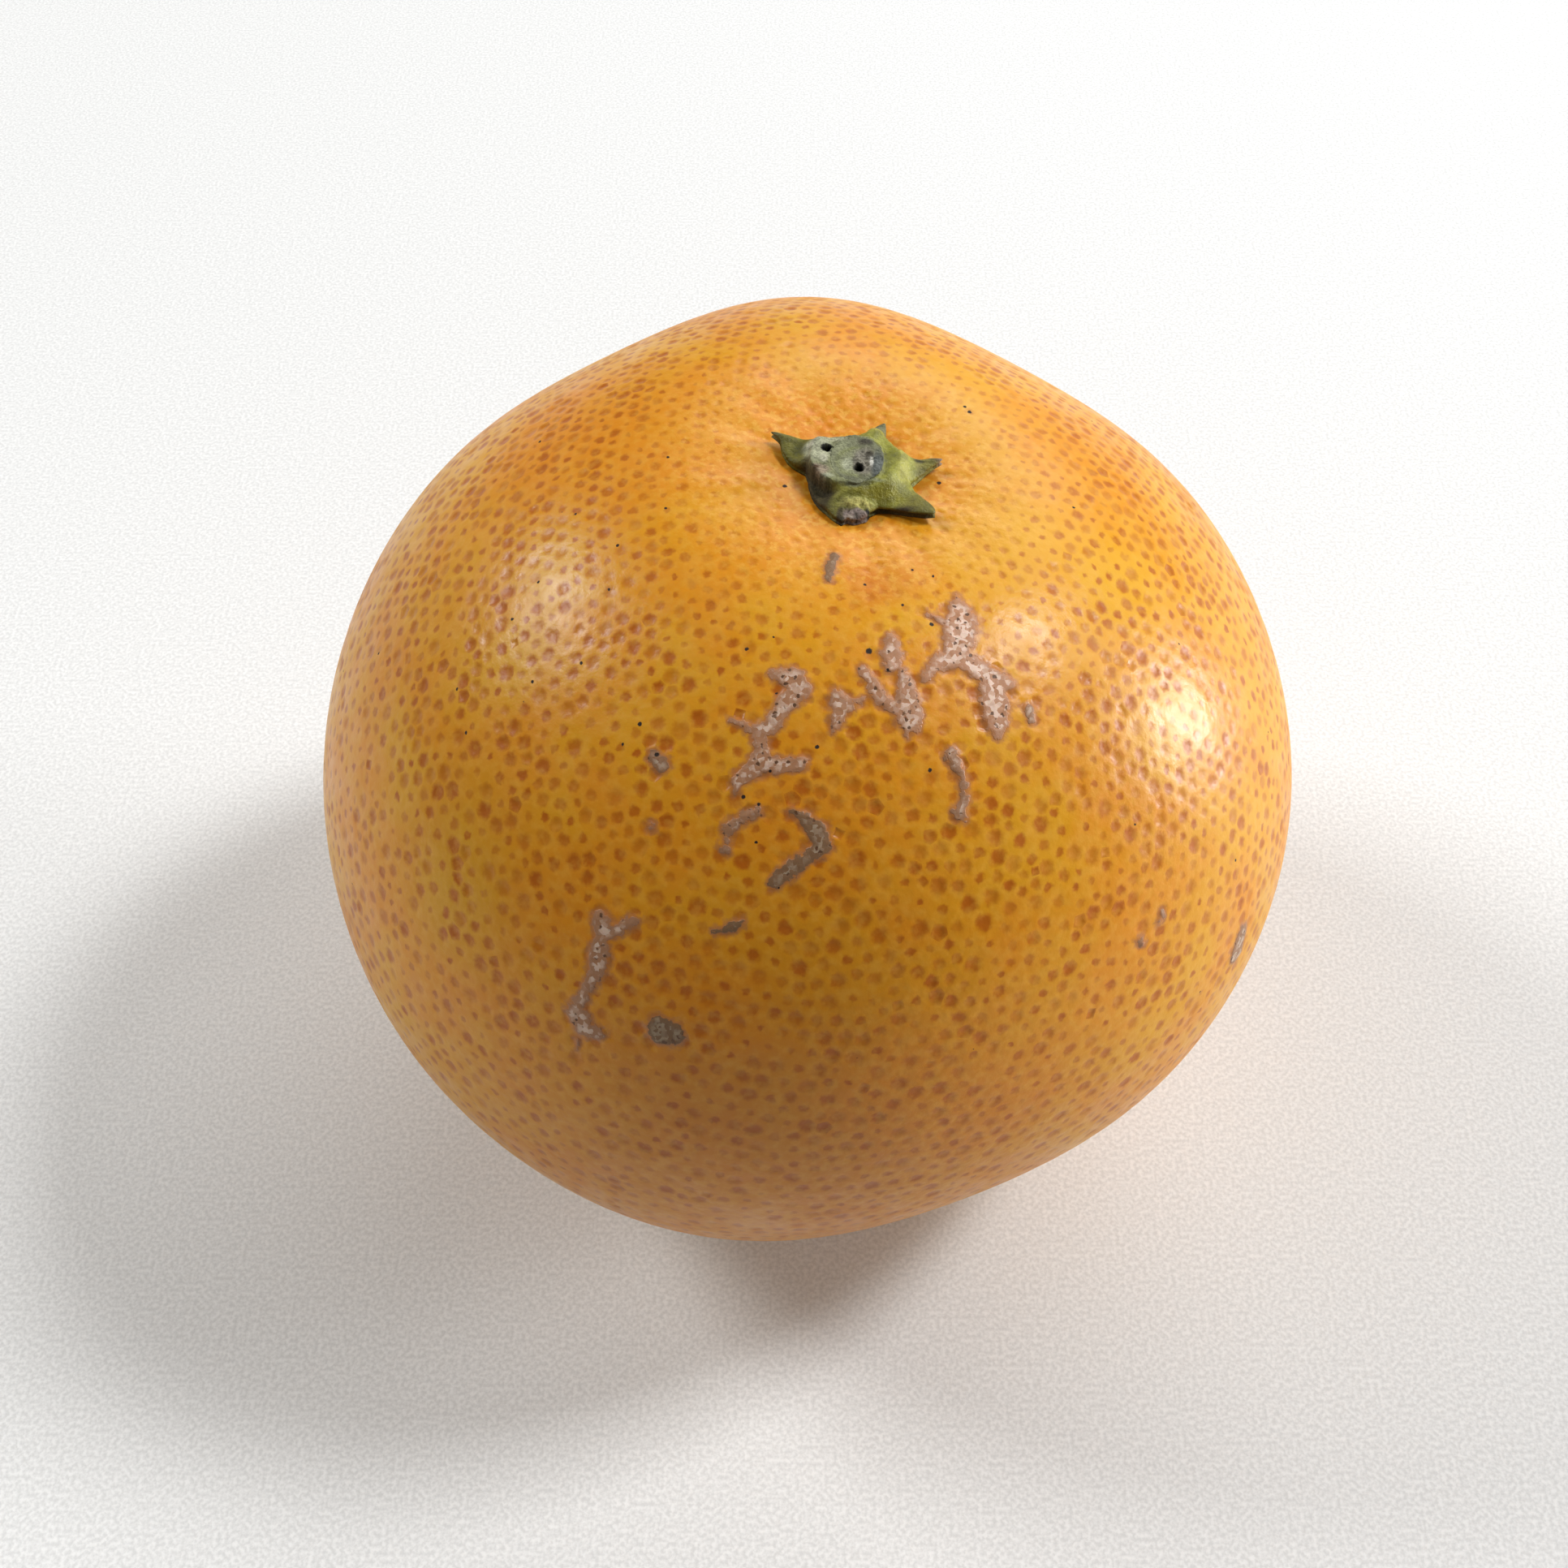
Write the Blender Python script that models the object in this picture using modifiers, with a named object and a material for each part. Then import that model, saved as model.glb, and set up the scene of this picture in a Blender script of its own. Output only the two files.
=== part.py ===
"""A mandarin, picked and lying on its blossom end, with its green calyx and the cut stub of its stalk.

Metres, +Z up. The origin is on the flat spot that the fruit rests on, at the middle of the fruit's width and depth.
Azimuths are in degrees from +X towards +Y, and tilts are in degrees from the fruit's upper pole.
"""

from collections import namedtuple
from math import acos, atan2, cos, degrees, exp, hypot, radians, sin

import bmesh
import bpy
from mathutils import Vector
from mathutils.bvhtree import BVHTree

MM = 0.001

# Fruit: an ellipsoid a little wider than it is tall, with soft lobes over its hidden segments
FRUIT_WIDTH = 66 * MM
FRUIT_HEIGHT = 60 * MM  # before the flat spot and the stem basin are taken off
FULLNESS = 2.03  # 2 is an ellipsoid, and more is squarer at the shoulders
FLAT_SPOT_DEPTH = 1.0 * MM

# Lobes: where each one is, how many degrees wide it is across and along its meridian, and how far it
# stands out, or sinks where the height is negative
Lobe = namedtuple("Lobe", "azimuth tilt across along height")
LOBES = (
    Lobe(92, 44, 22, 26, 1.0 * MM),
    Lobe(52, 48, 20, 24, -0.9 * MM),
    Lobe(122, 48, 18, 24, -0.8 * MM),
    Lobe(225, 98, 34, 36, 0.6 * MM),
    Lobe(255, 108, 20, 28, 0.4 * MM),
    Lobe(292, 106, 20, 30, -0.9 * MM),
    Lobe(345, 84, 22, 32, 0.4 * MM),
    Lobe(35, 108, 24, 30, 0.4 * MM),
    Lobe(150, 112, 22, 30, -0.5 * MM),
)

# Stem basin: the shallow hollow round the stalk, a little off the fruit's middle, puckered into furrows
STEM_OFFSET = Vector((3.0 * MM, 0.0))
BASIN_DEPTH = 2.5 * MM
BASIN_RADIUS = 9.0 * MM
FURROWS = 16
FURROW_DEPTH = 0.07 * MM
FURROW_MIDDLE = 7.0 * MM  # how far from the stalk the furrows are deepest
FURROW_REACH = 2.6 * MM
FURROW_WANDER = 1.6  # radians by which the furrows stray from an even spacing
FURROW_FADE = 0.35  # share by which some of them are shallower

# Blossom end: a small hollow under the fruit, with the nub where the style fell off
NAVEL_DEPTH = 1.2 * MM
NAVEL_RADIUS = 2.3 * MM
STYLE_NUB_HEIGHT = 0.5 * MM
STYLE_NUB_RADIUS = 0.9 * MM
FLATNESS = 0.02 * MM  # what is left of the hollow below this height is flat

FRUIT_SEGMENTS = 80
FRUIT_RINGS = 48
RING_CROWDING = 0.2  # how much closer the rings lie at the poles than half way down

# Calyx: a thick green button with five sepals. Each runs from the button's rim to its own reach, over so many
# degrees on its clockwise and its anticlockwise side. A taper above 1 hollows the flanks to a fine tip, and
# one below 1 leaves the end blunt. The lift is how far the tip curls up off the peel.
DISC_RADIUS = 3.0 * MM
DISC_THICKNESS = 1.5 * MM
SEPAL_THICKNESS = 0.75 * MM
SHOULDER_START = 2.8 * MM  # where the button starts to thin down to its sepals
SHOULDER_END = 4.1 * MM
Sepal = namedtuple("Sepal", "azimuth reach clockwise anticlockwise taper lift")
SEPALS = (
    Sepal(157, 5.6 * MM, 24, 36, 1.3, 0.5 * MM),
    Sepal(64, 4.2 * MM, 20, 26, 1.4, 0.5 * MM),
    Sepal(6, 5.2 * MM, 36, 16, 1.8, 0.5 * MM),
    Sepal(318, 6.0 * MM, 34, 24, 1.8, 0.3 * MM),
    Sepal(262, 4.6 * MM, 28, 32, 0.7, 0.0 * MM),
)
EDGE_ROUNDING = 0.35  # share of the height of the unit sphere over which the rim rounds off
CALYX_SEGMENTS = 90
CALYX_RINGS = 20

# Neck under the calyx, rooted in a plain hole in the fruit
NECK_RADIUS = 1.3 * MM
NECK_LENGTH = 1.5 * MM
NECK_OVERLAP = 0.4 * MM  # how far the neck runs up inside the button

# Stalk stub: the clipped end of the stalk, an oval peg in a pocket in the button
STUB_MIDDLE = Vector((-0.1 * MM, -0.5 * MM))  # from the stem's axis
STUB_HALF_WIDTH = 1.5 * MM
STUB_HALF_DEPTH = 1.8 * MM
STUB_STANDS_PROUD = 0.15 * MM
STUB_EDGE = 0.18 * MM
POCKET_DEPTH = 0.9 * MM

CLEARANCE = 0.3 * MM  # between pieces that grew together
CUTTER_PAST = 2 * MM  # how far a cutter runs out of the mouth of its hole
HIGH_ABOVE = 100 * MM  # where the drop lines that find the peel start

PEEL_ORANGE = (0.83, 0.36, 0.035, 1.0)
CALYX_GREEN = (0.17, 0.20, 0.045, 1.0)
STUB_GREY = (0.27, 0.27, 0.17, 1.0)


def clear_scene():
    for thing in list(bpy.data.objects):
        bpy.data.objects.remove(thing)


def new_collection(name):
    collection = bpy.data.collections.new(name)
    bpy.context.scene.collection.children.link(collection)
    return collection


def plain_material(name, colour, roughness):
    material = bpy.data.materials.new(name)
    material.use_nodes = True
    shader = material.node_tree.nodes["Principled BSDF"]
    shader.inputs["Base Color"].default_value = colour
    shader.inputs["Roughness"].default_value = roughness
    shader.inputs["Metallic"].default_value = 0.0
    return material


def object_from(bm, name, collection, material=None):
    mesh = bpy.data.meshes.new(name)
    bm.to_mesh(mesh)
    bm.free()
    mesh.shade_smooth()
    if material:
        mesh.materials.append(material)
    thing = bpy.data.objects.new(name, mesh)
    collection.objects.link(thing)
    return thing


def bell(distance, width):
    """1 at no distance, falling to 0 beyond about twice the width."""
    return exp(-((distance / width) ** 2))


def smooth_step(value):
    value = min(1.0, max(0.0, value))
    return value * value * (3 - 2 * value)


def turn_between(first, second):
    """The angle from one azimuth to another, between -180 and 180 degrees."""
    return (first - second + 180) % 360 - 180


# Fruit


def lobe_height(azimuth, tilt):
    """How far the lobes raise or sink the peel in a direction."""
    total = 0.0
    for lobe in LOBES:
        sideways = turn_between(azimuth, lobe.azimuth) * sin(radians(tilt))
        total += lobe.height * bell(sideways, lobe.across) * bell(tilt - lobe.tilt, lobe.along)
    return total


def basin_drop(x, y):
    """How far the stem basin and its furrows sink the top of the fruit at a place."""
    dx = x - STEM_OFFSET.x
    dy = y - STEM_OFFSET.y
    distance = hypot(dx, dy)
    azimuth = atan2(dy, dx)
    wander = FURROW_WANDER * sin(2 * azimuth + sin(3 * azimuth))
    strength = 1 - FURROW_FADE * (1 + sin(5 * azimuth + wander)) / 2
    furrow = FURROW_DEPTH * strength * cos(FURROWS * azimuth + wander)
    furrow *= bell(distance - FURROW_MIDDLE, FURROW_REACH)
    return BASIN_DEPTH * bell(distance, BASIN_RADIUS) + furrow


def navel_rise(x, y):
    """How far the hollow at the blossom end, with its nub, lifts the underside at a place."""
    distance = hypot(x, y)
    hollow = NAVEL_DEPTH * bell(distance, NAVEL_RADIUS)
    return hollow - STYLE_NUB_HEIGHT * bell(distance, STYLE_NUB_RADIUS)


def peel_point(direction):
    """The place on the peel that a direction from the fruit's middle meets."""
    half_width = FRUIT_WIDTH / 2
    half_height = FRUIT_HEIGHT / 2
    x, y, z = direction.normalized()
    sideways = (hypot(x, y) / half_width) ** FULLNESS
    upwards = (abs(z) / half_height) ** FULLNESS
    reach = (sideways + upwards) ** (-1 / FULLNESS)
    azimuth = degrees(atan2(y, x))
    tilt = degrees(acos(max(-1.0, min(1.0, z))))
    reach += lobe_height(azimuth, tilt)
    point = Vector((x, y, z)) * reach
    resting_plane = FLAT_SPOT_DEPTH - half_height
    if z > 0:
        point.z -= basin_drop(point.x, point.y)
    elif point.z < resting_plane:
        point.z = resting_plane + navel_rise(point.x, point.y)
        if point.z < resting_plane + FLATNESS:
            point.z = resting_plane
    return point


def crowd_to_poles(direction):
    """The same direction with its tilt moved towards the nearer pole, so that rings lie closer there."""
    tilt = acos(max(-1.0, min(1.0, direction.z)))
    azimuth = atan2(direction.y, direction.x)
    tilt -= RING_CROWDING * sin(2 * tilt)
    return Vector((sin(tilt) * cos(azimuth), sin(tilt) * sin(azimuth), cos(tilt)))


def make_fruit(collection, material):
    """One solid: peel, flesh and seeds grew together, and only the peel shows."""
    bm = bmesh.new()
    bmesh.ops.create_uvsphere(bm, u_segments=FRUIT_SEGMENTS, v_segments=FRUIT_RINGS, radius=1)
    for vertex in bm.verts:
        vertex.co = peel_point(crowd_to_poles(vertex.co))
    low = Vector([min(vertex.co[axis] for vertex in bm.verts) for axis in range(3)])
    high = Vector([max(vertex.co[axis] for vertex in bm.verts) for axis in range(3)])
    to_origin = Vector((-(low.x + high.x) / 2, -(low.y + high.y) / 2, -low.z))
    bmesh.ops.translate(bm, verts=bm.verts, vec=to_origin)
    return object_from(bm, "fruit", collection, material), to_origin


def tree_of(thing):
    """A search tree of an object's faces, for dropping lines on it."""
    bm = bmesh.new()
    bm.from_mesh(thing.data)
    tree = BVHTree.FromBMesh(bm)
    bm.free()
    return tree


def peel_height(peel, x, y):
    """How high the top of the peel is at a place."""
    hit = peel.ray_cast(Vector((x, y, HIGH_ABOVE)), Vector((0, 0, -1)))[0]
    return hit.z


# Calyx and stalk stub


def calyx_reach(azimuth):
    """How far the calyx's outline lies from the stem's axis in a direction."""
    reach = DISC_RADIUS
    for sepal in SEPALS:
        turn = turn_between(azimuth, sepal.azimuth)
        aside = turn / sepal.anticlockwise if turn > 0 else -turn / sepal.clockwise
        if aside < 1:
            length = (sepal.reach - DISC_RADIUS) * (1 - aside) ** sepal.taper
            reach = max(reach, DISC_RADIUS + length)
    return reach


def tip_lift(azimuth, distance):
    """How far a sepal's tip curls up off the peel."""
    total = 0.0
    for sepal in SEPALS:
        outwards = smooth_step((distance - DISC_RADIUS) / (sepal.reach - DISC_RADIUS))
        nearness = bell(turn_between(azimuth, sepal.azimuth), sepal.clockwise)
        total += sepal.lift * outwards * nearness
    return total


def calyx_thickness(distance):
    thinning = smooth_step((distance - SHOULDER_START) / (SHOULDER_END - SHOULDER_START))
    return DISC_THICKNESS + (SEPAL_THICKNESS - DISC_THICKNESS) * thinning


def cylinder(name, collection, middle, radii, bottom, top, segments=32):
    """An upright cylinder, round or oval, from one height to another."""
    bm = bmesh.new()
    bmesh.ops.create_cone(bm, cap_ends=True, segments=segments, radius1=1, radius2=1, depth=1)
    for vertex in bm.verts:
        x = middle.x + vertex.co.x * radii[0]
        y = middle.y + vertex.co.y * radii[1]
        vertex.co = Vector((x, y, bottom if vertex.co.z < 0 else top))
    return object_from(bm, name, collection)


def apply_boolean(thing, other, operation):
    modifier = thing.modifiers.new(operation.lower(), "BOOLEAN")
    modifier.operation = operation
    modifier.object = other
    modifier.solver = "EXACT"
    other.hide_render = True
    other.display_type = "WIRE"


def make_calyx(collection, cutters, material, peel, stem):
    """The button and its sepals, following the peel under them, with a neck below and a pocket above."""
    bm = bmesh.new()
    bmesh.ops.create_uvsphere(bm, u_segments=CALYX_SEGMENTS, v_segments=CALYX_RINGS, radius=1)
    for vertex in bm.verts:
        across = hypot(vertex.co.x, vertex.co.y)
        azimuth = degrees(atan2(vertex.co.y, vertex.co.x)) if across > 1e-6 else 0.0
        distance = across * calyx_reach(azimuth)
        x = stem.x + distance * cos(radians(azimuth))
        y = stem.y + distance * sin(radians(azimuth))
        underside = peel_height(peel, x, y) + CLEARANCE + tip_lift(azimuth, distance)
        rounding = smooth_step(abs(vertex.co.z) / EDGE_ROUNDING)
        side = rounding if vertex.co.z > 0 else -rounding
        height = calyx_thickness(distance) * (0.5 + 0.5 * side)
        vertex.co = Vector((x, y, underside + height))
    calyx = object_from(bm, "calyx", collection, material)

    floor = peel_height(peel, stem.x, stem.y)
    neck_radii = (NECK_RADIUS, NECK_RADIUS)
    neck_top = floor + CLEARANCE + NECK_OVERLAP
    neck = cylinder("neck", cutters, stem, neck_radii, floor - NECK_LENGTH, neck_top)
    apply_boolean(calyx, neck, "UNION")

    button_top = floor + CLEARANCE + DISC_THICKNESS
    pocket_floor = button_top - POCKET_DEPTH
    middle = Vector((stem.x + STUB_MIDDLE.x, stem.y + STUB_MIDDLE.y))
    pocket_radii = (STUB_HALF_WIDTH + CLEARANCE, STUB_HALF_DEPTH + CLEARANCE)
    pocket_mouth = button_top + CUTTER_PAST
    pocket = cylinder("pocket", cutters, middle, pocket_radii, pocket_floor, pocket_mouth)
    apply_boolean(calyx, pocket, "DIFFERENCE")
    return pocket_floor, button_top, middle


def make_stalk_stub(collection, material, middle, pocket_floor, button_top):
    """The clipped stalk: an oval peg with a softened edge."""
    radii = (STUB_HALF_WIDTH, STUB_HALF_DEPTH)
    bottom = pocket_floor + CLEARANCE
    stub = cylinder("stalk_stub", collection, middle, radii, bottom, button_top + STUB_STANDS_PROUD)
    stub.data.materials.append(material)
    bevel = stub.modifiers.new("soft edge", "BEVEL")
    bevel.width = STUB_EDGE
    bevel.segments = 3
    bevel.limit_method = "ANGLE"
    bevel.angle_limit = radians(60)


def root_neck(fruit, cutters, peel, stem):
    """The plain hole in the fruit that the calyx's neck is rooted in."""
    floor = peel_height(peel, stem.x, stem.y)
    hole_radii = (NECK_RADIUS + CLEARANCE, NECK_RADIUS + CLEARANCE)
    bottom = floor - NECK_LENGTH - CLEARANCE
    hole = cylinder("neck_hole", cutters, stem, hole_radii, bottom, floor + CUTTER_PAST)
    apply_boolean(fruit, hole, "DIFFERENCE")


def main():
    clear_scene()
    mandarin = new_collection("mandarin")
    cutters = new_collection("cutters")
    peel_material = plain_material("peel", PEEL_ORANGE, 0.42)
    calyx_material = plain_material("calyx", CALYX_GREEN, 0.6)
    stub_material = plain_material("stalk", STUB_GREY, 0.85)
    fruit, to_origin = make_fruit(mandarin, peel_material)
    stem = Vector((STEM_OFFSET.x + to_origin.x, STEM_OFFSET.y + to_origin.y))
    peel = tree_of(fruit)
    pocket_floor, button_top, middle = make_calyx(mandarin, cutters, calyx_material, peel, stem)
    make_stalk_stub(mandarin, stub_material, middle, pocket_floor, button_top)
    root_neck(fruit, cutters, peel, stem)


main()
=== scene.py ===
# %% [markdown]
# # A mandarin on a pale table
# The fruit, its green calyx and the cut end of its stalk come from the frame at their real size. This
# file dresses them: a peel with its oil glands as real pits, the corky scars and dark specks on it, a
# calyx with a torn edge, and the light of a room with windows on two sides. Blender's lengths are
# metres. On a fruit millimetres are easier to read, so a length is written as a number times MM, and
# the calyx, the stalk and the patterns of the materials are worked out in plain millimetres.

# %% The frame, and the tools of this file
import random
from collections import namedtuple
from math import asin, atan2, cos, degrees, exp, hypot, pi, radians, sin

import bmesh
import bpy
import numpy as np
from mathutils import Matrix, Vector, noise
from mathutils.bvhtree import BVHTree
from mathutils.kdtree import KDTree


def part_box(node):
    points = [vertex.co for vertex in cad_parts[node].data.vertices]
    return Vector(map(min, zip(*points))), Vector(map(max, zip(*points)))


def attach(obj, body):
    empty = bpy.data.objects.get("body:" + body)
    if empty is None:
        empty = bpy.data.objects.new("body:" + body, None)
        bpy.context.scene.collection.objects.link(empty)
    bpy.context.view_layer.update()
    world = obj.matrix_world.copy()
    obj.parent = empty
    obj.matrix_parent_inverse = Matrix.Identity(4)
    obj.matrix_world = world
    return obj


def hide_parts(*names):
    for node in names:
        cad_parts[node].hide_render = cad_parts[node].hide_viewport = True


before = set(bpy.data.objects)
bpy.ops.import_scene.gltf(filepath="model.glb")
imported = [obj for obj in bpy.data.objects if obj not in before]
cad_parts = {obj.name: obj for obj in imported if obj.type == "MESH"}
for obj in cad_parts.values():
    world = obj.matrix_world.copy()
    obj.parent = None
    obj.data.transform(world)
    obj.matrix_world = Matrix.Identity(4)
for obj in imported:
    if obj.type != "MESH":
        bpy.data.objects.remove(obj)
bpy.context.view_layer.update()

MM = 0.001
SEED = 7
scene = bpy.context.scene
low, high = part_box("fruit")
print("the fruit is", [round(side / MM, 1) for side in high - low], "mm")

# %% [markdown]
# ## Camera
# The photograph was taken by a phone held close, looking down on the fruit at 52 degrees. So the lens
# is wide for the distance, which makes the top of the fruit look larger than its foot. The camera comes
# first here because the scars are placed by where the photograph shows them. A pixel and the camera
# give a line, and the line meets the peel in one place, so a mark that is placed this way sits on the
# fruit from every side.

# %% Camera
PHOTO = 1932  # pixels along each side of the photograph
LENS = 28.0  # in millimetres, as Blender counts lenses
SENSOR = 24.0
CAMERA_DISTANCE = 129.3 * MM
CAMERA_HEIGHT = radians(52)
MIDDLE_PIXEL = Vector((995, 940))  # where the photograph shows the middle of the fruit
MIDDLE = Vector((0.0, 0.0, 29.0 * MM))

camera_data = bpy.data.cameras.new("camera")
camera_data.lens = LENS
camera_data.sensor_width = SENSOR
camera_data.clip_start = 5 * MM
camera_data.shift_x = (PHOTO / 2 - MIDDLE_PIXEL.x) / PHOTO
camera_data.shift_y = (MIDDLE_PIXEL.y - PHOTO / 2) / PHOTO
camera = bpy.data.objects.new("camera", camera_data)
scene.collection.objects.link(camera)
camera.location = MIDDLE + CAMERA_DISTANCE * Vector((0, -cos(CAMERA_HEIGHT), sin(CAMERA_HEIGHT)))
camera.rotation_euler = (pi / 2 - CAMERA_HEIGHT, 0, 0)
scene.camera = camera
bpy.context.view_layer.update()
TO_WORLD = camera.matrix_world.to_3x3()
FOCAL = LENS / SENSOR * PHOTO


def photo_line(x, y):
    """The direction in which the camera sees a pixel of the photograph."""
    return (TO_WORLD @ Vector(((x - MIDDLE_PIXEL.x) / FOCAL, (MIDDLE_PIXEL.y - y) / FOCAL, -1))).normalized()


def photo_pixels(points):
    """Where the photograph shows some points, as an array of pixels."""
    seen = (points - np.array(camera.location)) @ np.array(TO_WORLD)
    return np.stack([MIDDLE_PIXEL.x - FOCAL * seen[:, 0] / seen[:, 2],
                     MIDDLE_PIXEL.y + FOCAL * seen[:, 1] / seen[:, 2]], axis=1)


# %% [markdown]
# ## Node helpers
# Materials and Geometry Nodes are both graphs of nodes. Two small functions build them: one fills a
# socket with a value or a link, and the other adds a node with its settings and fills its inputs in
# order. The rest of the file then reads close to arithmetic.

# %% Node helpers
def fill(tree, socket, value):
    """Link a socket to another node's output, or give it a value. None leaves it as it is."""
    if isinstance(value, bpy.types.NodeSocket):
        tree.links.new(value, socket)
    elif value is not None:
        socket.default_value = value


def add(tree, kind, *values, **settings):
    """Add a node, with its settings, and fill the inputs that it shows, in order."""
    made = tree.nodes.new(kind)
    for name, value in settings.items():
        setattr(made, name, value)
    shown = [socket for socket in made.inputs if socket.enabled]
    for socket, value in zip(shown, values):
        fill(tree, socket, value)
    return made


def shown_output(made):
    return next(socket for socket in made.outputs if socket.enabled)


def calc(tree, operation, *values, clamp=False):
    """One step of arithmetic on numbers."""
    return add(tree, "ShaderNodeMath", *values, operation=operation, use_clamp=clamp).outputs[0]


def vector(tree, operation, *values):
    """One step of arithmetic on vectors. The output is the one that the operation shows."""
    return shown_output(add(tree, "ShaderNodeVectorMath", *values, operation=operation))


def ramp(tree, value, start, end, low=0.0, high=1.0):
    """Low up to start, high from end, and a smooth rise between them."""
    made = add(tree, "ShaderNodeMapRange", value, start, end, low, high, interpolation_type="SMOOTHSTEP")
    return made.outputs[0]


def geometry_tree(name, **inputs):
    """A Geometry Nodes tree with named inputs. It returns the tree and what its input node gives."""
    tree = bpy.data.node_groups.new(name, "GeometryNodeTree")
    tree.interface.new_socket("Geometry", in_out="INPUT", socket_type="NodeSocketGeometry")
    tree.interface.new_socket("Geometry", in_out="OUTPUT", socket_type="NodeSocketGeometry")
    for label, kind in inputs.items():
        tree.interface.new_socket(label, in_out="INPUT", socket_type="NodeSocket" + kind)
    return tree, tree.nodes.new("NodeGroupInput").outputs


def grow(thing, tree, values):
    """Run a tree on an object and return the result as a plain mesh, with the modifier gone again."""
    modifier = thing.modifiers.new(tree.name, "NODES")
    modifier.node_group = tree
    for item in tree.interface.items_tree:
        if item.in_out == "INPUT" and item.name in values:
            modifier[item.identifier] = values[item.name]
    graph = bpy.context.evaluated_depsgraph_get()
    grown = thing.evaluated_get(graph)
    mesh = bpy.data.meshes.new_from_object(grown, preserve_all_data_layers=True, depsgraph=graph)
    thing.modifiers.remove(modifier)
    return mesh


def new_object(name, mesh):
    thing = bpy.data.objects.new(name, mesh)
    scene.collection.objects.link(thing)
    return thing


def new_material(name):
    material = bpy.data.materials.new(name)
    material.use_nodes = True
    return material.node_tree, material.node_tree.nodes["Principled BSDF"], material


# %% [markdown]
# ## A smooth body
# The frame's fruit is cut into flat facets, and a peel shows none. So a merged copy of it gets its
# triangles paired into quads and two rounds of Subdivision Surface. The neck's hole, which the calyx
# hides, is closed first. This copy is only the form that the fine peel is wrapped on, and it isn't
# shown.

# %% Smooth body
HOLE_WALL = 1.65 * MM  # the neck's hole reaches this far from the stem's axis
STUB_TO_STEM = Vector((0.1 * MM, 0.5 * MM))  # from the middle of the stub to the stem's axis
MERGE = 0.001 * MM
SMOOTH_ROUNDS = 2

stub_low, stub_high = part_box("stalk_stub")
stem_axis = (stub_low.xy + stub_high.xy) / 2 + STUB_TO_STEM


def smooth_body():
    """The fruit's own form without facets or the neck's hole."""
    bm = bmesh.new()
    bm.from_mesh(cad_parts["fruit"].data)
    bmesh.ops.remove_doubles(bm, verts=bm.verts, dist=MERGE)
    near = [v for v in bm.verts if v.co.z > MIDDLE.z and (v.co.xy - stem_axis).length < HOLE_WALL]
    bmesh.ops.delete(bm, geom=near, context="VERTS")
    bmesh.ops.holes_fill(bm, edges=[edge for edge in bm.edges if edge.is_boundary])
    bmesh.ops.join_triangles(bm, faces=bm.faces, angle_face_threshold=0.4, angle_shape_threshold=0.8)
    mesh = bpy.data.meshes.new("body form")
    bm.to_mesh(mesh)
    bm.free()
    thing = new_object("body_form", mesh)
    subdivision = thing.modifiers.new("smooth", "SUBSURF")
    subdivision.levels = subdivision.render_levels = SMOOTH_ROUNDS
    graph = bpy.context.evaluated_depsgraph_get()
    thing.data = bpy.data.meshes.new_from_object(thing.evaluated_get(graph))
    thing.modifiers.remove(subdivision)
    thing.hide_render = True
    return thing


body = smooth_body()
body_tree = BVHTree.FromObject(body, bpy.context.evaluated_depsgraph_get())
print("the smooth body has", len(body.data.polygons), "faces")


def on_peel(x, y):
    """The place on the peel that the photograph shows at a pixel."""
    return body_tree.ray_cast(camera.location, photo_line(x, y))[0]


stem_pixel = photo_pixels(np.array([[*stem_axis, high.z]]))[0]
print("the stem's axis shows at pixel", stem_pixel.round())

# %% [markdown]
# ## Oil glands as real pits
# A citrus peel is a close packing of oil glands, a little over 1 mm apart, each one a shallow darker
# pit. A bump map alone would leave the fruit smooth in its meshes, and a regular grid of faces would
# cut the small pits into steps. So Geometry Nodes grow a net that is made for the glands. Points are
# scattered on a ball with a least distance between them, and are drawn together towards the stem, where
# real glands are smaller and closer. The convex hull of points on a ball is their best net of
# triangles, and its dual is a honeycomb with one cell for each gland. Each cell gets an inner ring for
# the floor of its pit. Every point is then thrown out along its own line on to the smooth body, and the
# floors are sunk. Each face keeps the middle, the size and the tone of its gland, and the material
# draws the spots from those.

# %% The tree that grows the gland net
BALL_LEVEL = 6  # rounds of subdivision of the ball that the points are scattered on
DENSEST = 12000.0  # more points than the least distance leaves room for, so it alone decides
SMALL_WITHIN = 4 * MM  # glands this close to the stem are the smallest
FULL_BEYOND = 22 * MM
SMALL_SHARE = 0.55
INNER_RING = 0.5  # any share of the cell will do, because the ring is placed again


def squeeze(tree, place, amount):
    """Draw places on the unit ball together towards its upper pole, without a change of shape close by."""
    parts = add(tree, "ShaderNodeSeparateXYZ", place).outputs
    flat = add(tree, "ShaderNodeCombineXYZ", parts[0], parts[1], 0.0).outputs[0]
    flat = vector(tree, "SCALE", flat, None)
    scale = calc(tree, "DIVIDE", 1.0, calc(tree, "MULTIPLY", calc(tree, "ADD", parts[2], 1.0001), amount))
    fill(tree, flat.node.inputs["Scale"], scale)
    spread = vector(tree, "DOT_PRODUCT", flat, flat)
    lifted = add(tree, "ShaderNodeCombineXYZ", 0.0, 0.0, calc(tree, "SUBTRACT", 1.0, spread)).outputs[0]
    return vector(tree, "NORMALIZE", vector(tree, "ADD", vector(tree, "ADD", flat, flat), lifted))


def named(tree, name, kind="FLOAT"):
    return shown_output(add(tree, "GeometryNodeInputNamedAttribute", name, data_type=kind))


def store(tree, mesh, selection, name, value, domain="FACE", kind="FLOAT"):
    made = add(tree, "GeometryNodeStoreNamedAttribute", mesh, selection, name, value,
               domain=domain, data_type=kind)
    return made.outputs[0]


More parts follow.
